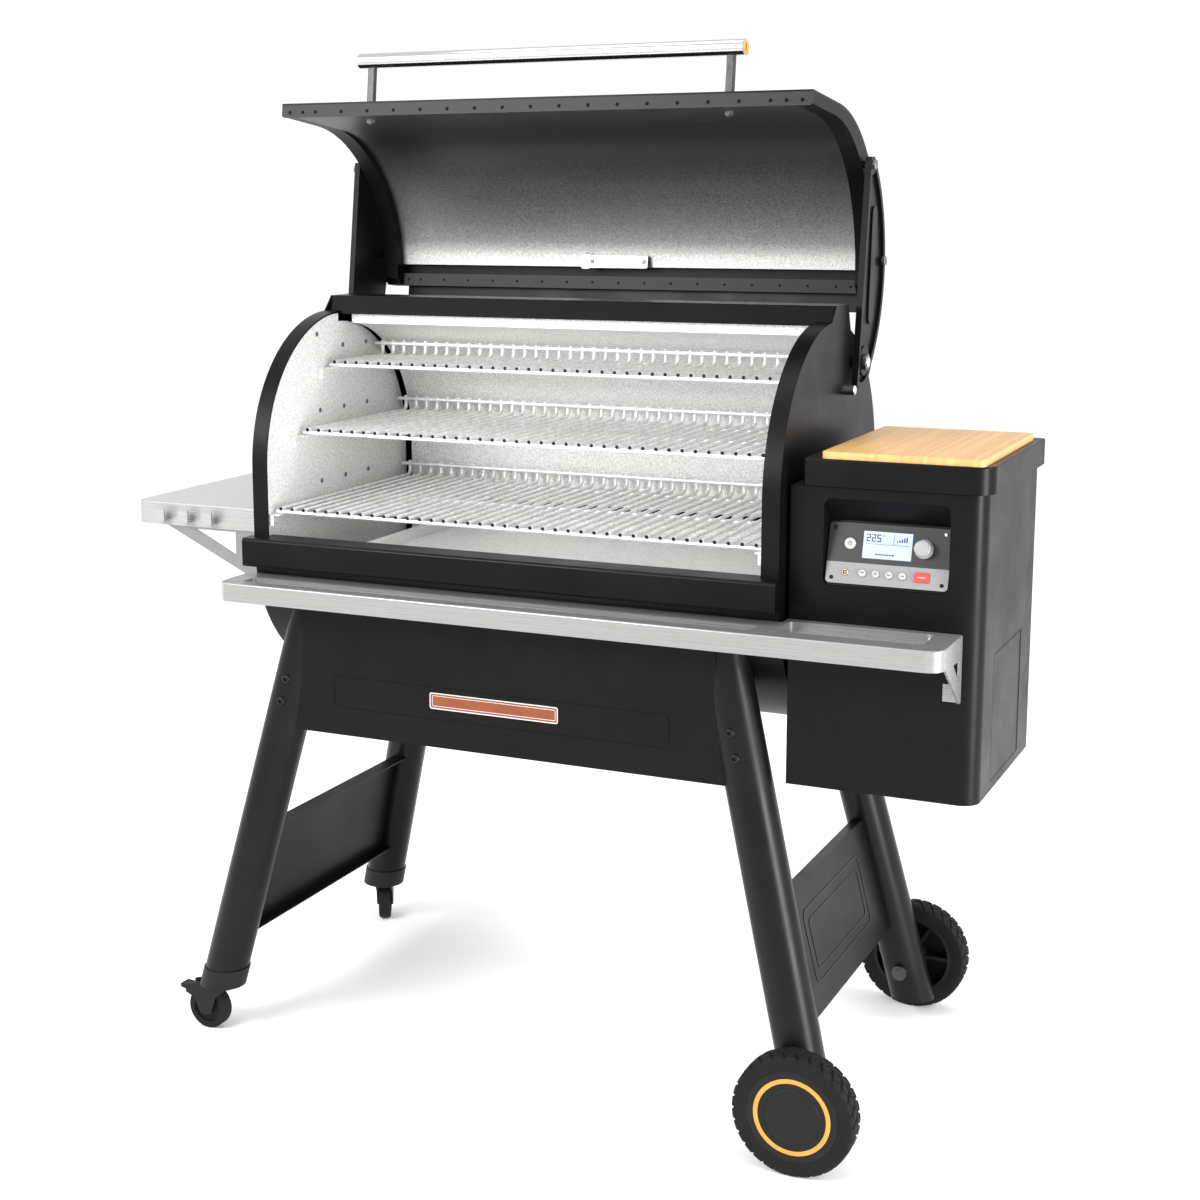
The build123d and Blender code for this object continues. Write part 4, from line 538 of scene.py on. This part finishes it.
def flange_coat(name, color):
    """The lid frame's coat, lighter on the two flanges that close on the lip and on the ridge.

    Heights and depths are read back along the closed lid's own axes, so the bands follow the flanges.
    """
    look = Look(name, color, Specular_Ior_Level=0.09)
    turned = OPENING.to_3x3()
    shut = []
    for axis in (Vector((0, 1, 0)), Vector((0, 0, 1))):
        along = turned @ axis
        inputs = {0: look.place(), 1: tuple(along)}
        reach = look.add("ShaderNodeVectorMath", inputs, operation="DOT_PRODUCT")
        shut.append(look.math("ADD", reach.outputs["Value"], PIVOT.dot(axis) - PIVOT.dot(along)))
    across = look.add("ShaderNodeSeparateXYZ", {"Vector": look.place()}).outputs["X"]
    front = look.math("LESS_THAN", shut[1], FLANGE_LOW.z + 1.5 * MM)
    high = look.math("COMPARE", shut[1], REAR_FLANGE_Z + 1.5 * MM)
    high.node.inputs[2].default_value = 1.8 * MM
    inside = look.math("LESS_THAN", look.math("ABSOLUTE", across), FLANGE_HIGH.x - 30 * MM)
    band = look.math("MAXIMUM", front, look.math("MULTIPLY", high, inside))
    grain = look.noise(size=420.0, detail=3.0)
    tone = look.ramp(grain, (0.3, shade(color, 0.85)), (0.7, shade(color, 1.2)))
    light = look.ramp(grain, (0.3, (0.030, 0.030, 0.031)), (0.7, (0.042, 0.042, 0.043)))
    look.wire(look.mix(band, tone, light), "Base Color")
    look.wire(look.span(grain, 0.34, 0.46), "Roughness")
    look.bump(grain, 0.25, 0.0003)
    return look.material


def handle_inlays():
    """Orange oval set in each end of the handle, round the CAD's slot."""
    bm = bmesh.new()
    low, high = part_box("handle_caps")
    centre = (low + high) / 2
    for side in (-1, 1):
        end = Vector((side * high.x, centre.y, centre.z))
        place = facing(end, (side, 0, 0), OPENING.to_3x3() @ Vector((0, 0, 1)))
        oval = rounded_loop(20 * MM, 26 * MM, 9.8 * MM)
        slot = rounded_loop(14 * MM, 4 * MM, 1.9 * MM)
        ring_plate(bm, place, oval, slot, -0.3 * MM, 0.5 * MM)
    piece("handle_inlays", bm, ACCENT, "lid")


# ---------------------------------------------------------------- controller trim


# Places on the controller's face, in millimetres across and up from its middle
SCREWS_DARK = [(-82, 37), (-82, -37), (82, -37)]
SCREW_BRIGHT = (82, 37)
BUTTON_ROW_Y = -28.0
JACK_X = -62.0
MENU_X = (-36, -16, 4, 24)
IGNITE_X = 52.0
POWER_AT = (-58.0, 14.5)
DISPLAY_CORNER = (-39.0, -5.5)
DISPLAY_LIFT = -0.30
CAP_LIFT = 2.42
PRINT = 0.12 * MM


def on_panel(x, y, lift=0.0):
    """Local frame on the controller's face, from its middle."""
    return PANEL_FRAME @ Matrix.Translation((x * MM, y * MM, lift * MM))


def knob():
    """Fluted knob with a flange and a bevelled cap."""
    bm = bmesh.new()
    place = on_panel(KNOB_AT.x / MM, KNOB_AT.y / MM, 3.0)
    flange = [(0.0, -2.5), (14.0, -2.5), (14.0, 0.2), (13.2, 1.0), (12.0, 1.2), (0.0, 1.2)]
    grip = [(0.0, 1.0), (12.3, 1.0), (12.3, 10.5), (11.4, 11.9), (10.6, 12.2), (10.2, 11.8), (0.0, 11.8)]
    lathe(bm, place, mm(flange), 90)
    lathe(bm, place, mm(grip), 180, flutes=30, depth=0.35 * MM)
    made = piece("control_knob_fluted", bm, KNOB_GREY, "control_knob")
    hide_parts("control_knob")


def panel_screws():
    """The face's four corner screws: three blackened and one bright."""
    dark = bmesh.new()
    for x, y in SCREWS_DARK:
        lathe(dark, on_panel(x, y), socket_head(3.0 * MM, 1.4 * MM), 20)
    piece("panel_screws_dark", dark, LOOKS["black_plastic"], "cart")
    bright = bmesh.new()
    lathe(bright, on_panel(*SCREW_BRIGHT), socket_head(3.0 * MM, 1.4 * MM), 20)
    piece("panel_screw_bright", bright, BRIGHT, "cart")


def probe_jack():
    """Socket for a meat probe: a turned ring round a hole with a pin."""
    bm = bmesh.new()
    profile = [(4.9, 0.0), (4.9, 1.0), (4.2, 1.8), (3.1, 1.8), (2.8, 0.6), (1.2, 0.6), (1.1, 1.2), (0, 1.2)]
    lathe(bm, on_panel(JACK_X, BUTTON_ROW_Y), mm(profile), 32)
    piece("probe_jack", bm, plated("brass_ring", (0.42, 0.38, 0.22)), "cart")
    bore = bmesh.new()
    lathe(bore, on_panel(JACK_X, BUTTON_ROW_Y), mm([(2.75, 0.6), (2.75, 0.9), (0, 0.9)]), 24)
    piece("probe_jack_bore", bore, INK, "cart")


# Which of a digit's seven bars are lit: top, upper left, upper right, middle, lower left and right, bottom
DIGITS = {"2": "1011101", "5": "1101011"}


def digit(bm, place, code, width, height, stroke):
    """Seven-bar digit from its lit bars."""
    half = height / 2
    bars = [((0, height - stroke), (width, height)), ((0, half), (stroke, height)),
            ((width - stroke, half), (width, height)), ((0, half - stroke / 2), (width, half + stroke / 2)),
            ((0, 0), (stroke, half)), ((width - stroke, 0), (width, half)), ((0, 0), (width, stroke))]
    for lit, (low, high) in zip(DIGITS[code], bars):
        if lit == "1":
            bar(bm, place, low, high, PRINT)


def display_marks():
    """Generic read-out: a number, its degree mark, two rules, a bar graph and a row of dashes."""
    bm = bmesh.new()
    base = on_panel(*DISPLAY_CORNER, DISPLAY_LIFT)
    for k, code in enumerate("225"):
        place = base @ Matrix.Translation(((4.5 + 7.8 * k) * MM, 25 * MM, 0))
        digit(bm, place, code, 6.0 * MM, 11.0 * MM, 1.5 * MM)
    degree = base @ Matrix.Translation((29.2 * MM, 34.2 * MM, 0))
    frame_plate(bm, degree, 2.4 * MM, 2.4 * MM, 1.0 * MM, 0.5 * MM, 0.0, PRINT)
    rules = [(4, 21.3, 69, 21.8), (45, 22, 45.5, 37)]
    graph = [(50 + 3.4 * k, 26, 51.8 + 3.4 * k, 28 + 1.6 * k) for k in range(5)]
    dashes = [(19 + 4.2 * k, 5.5, 22 + 4.2 * k, 7.5) for k in range(7)]
    for x0, y0, x1, y1 in rules + graph + dashes:
        bar(bm, base, (x0 * MM, y0 * MM), (x1 * MM, y1 * MM), PRINT)
    piece("display_readout", bm, DISPLAY_INK, "cart")


def button_marks():
    """Plain signs: bars on the menu buttons and the ignition button, a ring and a bar on the power one."""
    signs = [
        [(-2.6, 0.6, 2.6, 1.8)],
        [(-2.6, 1.0, 2.6, 2.0), (-2.6, -1.2, 1.0, -0.2)],
        [(-2.6, -0.5, 2.6, 0.5), (-2.6, 1.2, -0.6, 2.2)],
        [(-2.6, -0.6, -1.2, 0.8), (-0.4, -0.4, 2.6, 0.6)],
    ]
    for number, (x, bars) in enumerate(zip(MENU_X, signs), start=1):
        bm = bmesh.new()
        for x0, y0, x1, y1 in bars:
            cap = on_panel(x, BUTTON_ROW_Y, CAP_LIFT)
            bar(bm, cap, (x0 * MM, y0 * MM), (x1 * MM, y1 * MM), 0.2 * MM)
        piece(f"menu_mark_{number}", bm, INK, f"menu_button_{number}")
    bm = bmesh.new()
    power_cap = on_panel(*POWER_AT, CAP_LIFT)
    frame_plate(bm, power_cap, 5.4 * MM, 5.4 * MM, 2.6 * MM, 0.7 * MM, 0.0, 0.2 * MM)
    bar(bm, power_cap, (-0.4 * MM, 0.4 * MM), (0.4 * MM, 3.9 * MM), 0.25 * MM)
    piece("power_mark", bm, INK, "power_button")
    bm = bmesh.new()
    ignite_cap = on_panel(IGNITE_X, BUTTON_ROW_Y, CAP_LIFT)
    bar(bm, ignite_cap, (-6 * MM, -0.7 * MM), (6 * MM, 0.7 * MM), 0.2 * MM)
    piece("ignite_mark", bm, LOOKS["silver_plastic"], "ignite_button")


# ---------------------------------------------------------------- cart trim

BADGE_X = -9.5 * MM
BADGE_Z = 634.5 * MM

# The legs' leaning centre lines: their place at one height, and how far they move for each unit down
LEG_X = 414.0 * MM
LEG_Y = 237.0 * MM
LEG_Z = 560.0 * MM
LEAN_X = 0.25
LEAN_Y = 0.0915
LEG_R = 37.0 * MM
LEG_BOLTS_Z = (643.0 * MM, 605.0 * MM)
BRACE_MIDDLE_Z = 273.5 * MM
BRACE_SKIN = 3 * MM

# The lid's pins and bolts on each side, as distances from the middle, and their places
PIVOT_HEAD_X = 482 * MM
STOP_HEAD_X = 478 * MM
ARM_NUT_X = 480 * MM
STOP_AT = Vector((0, 57, 1132)) * MM
ARM_BOLTS = [Vector((0, 141, 1485)) * MM, Vector((0, 209, 1330)) * MM]


def badge():
    """Plain copper plate with a bright border on the front apron."""
    face_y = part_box("aprons")[0].y
    place = facing((BADGE_X, face_y, BADGE_Z), (0, -1, 0))
    bm = bmesh.new()
    prism(bm, place, rounded_loop(226 * MM, 24 * MM, 3 * MM), 0.0, 1.2 * MM)
    piece("badge_plate", bm, COPPER, "cart")
    bm = bmesh.new()
    frame_plate(bm, place, 229 * MM, 27 * MM, 4 * MM, 1.7 * MM, 0.0, 2.0 * MM)
    frame_plate(bm, place, 220 * MM, 18 * MM, 2 * MM, 0.9 * MM, 1.1 * MM, 1.7 * MM)
    piece("badge_border", bm, BRIGHT, "cart")


def leg_bolt_heads():
    """Button heads with driving sockets, two on each leg, where the CAD has plain studs."""
    bm = bmesh.new()
    for side_x in (-1, 1):
        for side_y in (-1, 1):
            for z in LEG_BOLTS_Z:
                drop = LEG_Z - z
                x = side_x * (LEG_X + LEAN_X * drop)
                y = side_y * (LEG_Y + LEAN_Y * drop + LEG_R - 0.5 * MM)
                place = facing((x, y, z), (0, side_y, 0))
                lathe(bm, place, socket_head(8.0 * MM, 5.0 * MM), 24)
    made = piece("leg_bolt_heads", bm, LOOKS["black_plastic"], "cart")
    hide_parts("leg_bolts")


def hinge_bolts():
    """Bright button heads on the lid's pivots and stops, and nuts on the arms' bolts."""
    bm = bmesh.new()
    lid_bm = bmesh.new()
    corners = [math.pi * k / 3 for k in range(6)]
    hexagon = mm([(8.5 * math.cos(turn), 8.5 * math.sin(turn)) for turn in corners])
    for side in (-1, 1):
        out = (side, 0, 0)
        pivot_at = (side * PIVOT_HEAD_X, PIVOT.y, PIVOT.z)
        lathe(bm, facing(pivot_at, out), dome(8.5 * MM, 3.5 * MM), 24)
        stop_at = (side * STOP_HEAD_X, STOP_AT.y, STOP_AT.z)
        lathe(bm, facing(stop_at, out), dome(7.5 * MM, 3.0 * MM), 24)
        for bolt in ARM_BOLTS:
            place = facing((side * ARM_NUT_X, bolt.y, bolt.z), out)
            prism(lid_bm, place, hexagon, -4 * MM, 1.5 * MM, 1.2 * MM)
    piece("pivot_heads", bm, NUT_STEEL, "cart")
    piece("arm_nuts", lid_bm, LOOKS["dark_steel"], "lid")


def brace_frames():
    """Plain pressed border on the outside of each end brace."""
    bm = bmesh.new()
    lean = math.atan(LEAN_X)
    for side in (-1, 1):
        out = Vector((side * math.cos(lean), 0, math.sin(lean)))
        middle_x = side * (LEG_X + LEAN_X * (LEG_Z - BRACE_MIDDLE_Z))
        face = Vector((middle_x, 0, BRACE_MIDDLE_Z)) + out * BRACE_SKIN
        frame_plate(bm, facing(face, out), 300 * MM, 120 * MM, 16 * MM, 3.0 * MM, 0.0, 0.8 * MM)
        frame_plate(bm, facing(face, out), 262 * MM, 82 * MM, 10 * MM, 2.0 * MM, 0.0, 0.8 * MM)
    piece("brace_frames", bm, LOOKS["leg_paint"], "cart")


# ---------------------------------------------------------------- cooking chamber trim

ROD_COUNT = 39
ROD_PITCH = 22 * MM
ROD_RISE = 9.1 * MM
ROD_END_DISC = [(3.1, -0.4), (3.1, 0.3), (0, 0.3)]
RAIL_ROWS_Z = (950, 1073, 1181)
RAIL_SCREWS_Y = (-70, 10, 90)


def rod_ends(name):
    """Dark discs on the front ends of a grate's rods."""
    bm = bmesh.new()
    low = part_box(name)[0]
    for k in range(ROD_COUNT):
        mouth = ((k - ROD_COUNT // 2) * ROD_PITCH, low.y, low.z + ROD_RISE)
        lathe(bm, facing(mouth, (0, -1, 0)), mm(ROD_END_DISC), 14)
    piece(f"rod_end_discs_{name}", bm, LOOKS["black_plastic"], name)


def liner_screws():
    """Small screw heads on the end liners, above each rail and near the ridge."""
    bm = bmesh.new()
    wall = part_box("barrel_liner")[1].x - 2 * MM
    places = [(y, z) for z in RAIL_ROWS_Z for y in RAIL_SCREWS_Y]
    places.remove((RAIL_SCREWS_Y[0], RAIL_ROWS_Z[-1]))
    for side in (-1, 1):
        for y, z in places + [(-75, 1205), (-215, 900)]:
            place = facing((side * wall, y * MM, z * MM), (-side, 0, 0))
            lathe(bm, place, dome(4.2 * MM, 1.8 * MM), 18)
    piece("liner_screws", bm, LOOKS["dark_steel"], "cart")


# ---------------------------------------------------------------- wheels

TYRE_BLOCKS = 30
TYRE_STEPS = TYRE_BLOCKS * 16
TREAD_ROWS = 36
CROSS_GROOVE = 0.22
GROOVE_DEPTH = 2.6 * MM
SHOULDER = 0.86


def on_block(turn, across):
    """Whether a place on the tread is on a block: chevron rows, either side of a zigzag middle groove."""
    row = turn * TYRE_BLOCKS + 0.55 * abs(across) + (0.5 if across > 0 else 0.0)
    wave = row - math.floor(row)
    cross = wave > CROSS_GROOVE
    zigzag = abs(across - 0.10 * math.sin(2 * math.pi * turn * TYRE_BLOCKS)) > 0.06
    second = abs(abs(across) - 0.62 - 0.05 * math.cos(2 * math.pi * turn * TYRE_BLOCKS)) > 0.05
    return cross and zigzag and second


def tyre(name, body):
    """Tyre with its grooved tread and rounded shoulders, in place of the CAD's plain one."""
    low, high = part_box(f"tyre_{name}")
    centre = (low + high) / 2
    side = 1 if centre.y > 0 else -1
    radius = (high.z - low.z) / 2
    half = (high.y - low.y) / 2
    wall = [(70.0 * MM, -half + 2 * MM), (78 * MM, -half + 0.6 * MM), (86 * MM, -half + 0.2 * MM)]
    rows = [[(r, y)] * TYRE_STEPS for r, y in wall]
    for across in [-1 + 2 * k / TREAD_ROWS for k in range(TREAD_ROWS + 1)]:
        rounding = max(0.0, abs(across) - SHOULDER) / (1.0 - SHOULDER)
        crown = radius - 1.0 * MM * across ** 2 - 3.4 * MM * rounding
        blocks = [on_block(k / TYRE_STEPS, across) for k in range(TYRE_STEPS)]
        rows.append([(crown if block else crown - GROOVE_DEPTH, across * half * 0.985) for block in blocks])
    rows += [[(r, -y)] * TYRE_STEPS for r, y in reversed(wall)]
    bm = bmesh.new()
    rings = []
    for row in rows:
        ring = []
        for k, (r, y) in enumerate(row):
            angle = 2 * math.pi * k / TYRE_STEPS
            point = Vector((r * math.cos(angle), y * side, r * math.sin(angle)))
            ring.append(bm.verts.new(centre + point))
        rings.append(ring)
    skin(bm, rings + rings[:1])
    made = piece(f"tyre_{name}_treaded", bm, LOOKS["tyre_rubber"], body, smooth=28.0)
    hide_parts(f"tyre_{name}")


def wheel_cover(name, body):
    """Outer face of the wheel: a shallow dish, the seat of the coloured ring, and a raised cap."""
    low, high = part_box(f"tyre_{name}")
    centre = (low + high) / 2
    side = 1 if centre.y > 0 else -1
    face = centre + Vector((0, side * (high.y - low.y) / 2, 0))
    place = facing(face, (0, side, 0))
    bm = bmesh.new()
    dish = [(70.4, -3.6), (70.4, -1.6), (69.0, -0.9), (60.6, -0.8)]
    seat = [(60.2, -1.4), (52.6, -1.4), (52.2, -0.9), (46.0, -1.3)]
    cap = [(43.5, -1.7), (42.5, -0.5), (41.0, -0.1), (20.0, 0.0), (0, 0.0)]
    lathe(bm, place, mm(dish + seat + cap), 96)
    piece(f"wheel_cover_{name}", bm, LOOKS["black_plastic"], body)
    bm = bmesh.new()
    outer = [(59.8, -1.5), (59.8, -0.7), (59.2, -0.3)]
    inner = [(53.6, -0.3), (53.0, -0.7), (53.0, -1.5)]
    lathe(bm, place, mm(outer + inner + outer[:1]), 96)
    piece(f"wheel_ring_{name}", bm, ACCENT, body)


# ---------------------------------------------------------------- put the pieces together

flange_rivets()
lid_tag()
knob()
panel_screws()
probe_jack()
display_marks()
button_marks()
badge()
leg_bolt_heads()
NODES["lid_frame"].data.materials[0] = flange_coat("lid_frame_coat", (0.0035, 0.0035, 0.0038))
handle_inlays()
hinge_bolts()
brace_frames()
for grate_name in ("grate_bottom", "grate_middle", "grate_top"):
    rod_ends(grate_name)
liner_screws()
for side_name in ("front", "rear"):
    tyre(side_name, f"wheel_{side_name}")
    wheel_cover(side_name, f"wheel_{side_name}")

# ---------------------------------------------------------------- studio

FLOOR_HALF = 30.0


def studio():
    bm = bmesh.new()
    bmesh.ops.create_grid(bm, x_segments=4, y_segments=4, size=FLOOR_HALF)
    mesh = bpy.data.meshes.new("studio_floor")
    bm.to_mesh(mesh)
    bm.free()
    floor = bpy.data.objects.new("studio_floor", mesh)
    bpy.context.scene.collection.objects.link(floor)
    look = Look("studio_floor", (1.0, 1.0, 1.0), Roughness=0.9, Specular_Ior_Level=0.1)
    floor.data.materials.append(look.material)
    world = bpy.data.worlds.new("studio_world")
    bpy.context.scene.world = world
    world.use_nodes = True
    world.node_tree.nodes["Background"].inputs["Color"].default_value = (1.0, 1.0, 1.0, 1.0)
    world.node_tree.nodes["Background"].inputs["Strength"].default_value = 1.06
    bpy.context.scene.view_settings.view_transform = "Standard"


def softbox(name, at, target, width, height, power):
    """Rectangular studio light aimed at a point."""
    light = bpy.data.lights.new(name, "AREA")
    light.shape = "RECTANGLE"
    light.size = width
    light.size_y = height
    light.energy = power
    box = bpy.data.objects.new(name, light)
    box.location = at
    box.rotation_euler = (Vector(target) - Vector(at)).to_track_quat("-Z", "Y").to_euler()
    bpy.context.scene.collection.objects.link(box)


def camera():
    """The viewpoint: to the right of the front, a little above the shelf, looking slightly down."""
    data = bpy.data.cameras.new("camera")
    data.sensor_width = 36.0
    data.lens = 58.51
    data.shift_x = 0.0592
    data.shift_y = -0.0533
    eye = bpy.data.objects.new("camera", data)
    turn, down, roll = math.radians(25.82), math.radians(10.09), math.radians(-0.31)
    eye.matrix_world = (Matrix.Translation((1.3568, -2.9477, 1.4492)) @ Matrix.Rotation(turn, 4, "Z")
                        @ Matrix.Rotation(math.pi / 2 - down, 4, "X") @ Matrix.Rotation(roll, 4, "Z"))
    bpy.context.scene.collection.objects.link(eye)
    bpy.context.scene.camera = eye


studio()
softbox("key", (-2.6, -3.6, 3.4), (0, 0, 0.9), 2.4, 2.4, 40)
softbox("front_fill", (1.6, -4.2, 1.2), (0, 0, 1.0), 2.6, 1.8, 5)
softbox("right_rim", (4.0, 0.4, 2.2), (0.3, 0, 0.8), 0.8, 2.6, 50)
softbox("top", (0.0, -0.6, 4.2), (0, 0, 1.0), 3.0, 1.6, 36)
softbox("right_strip", (3.2, -1.0, 0.7), (0.74, -0.2, 0.7), 0.9, 1.3, 88)
softbox("chamber", (-0.9, -1.9, 1.75), (0.0, 0.2, 1.0), 1.0, 0.6, 44)
camera()
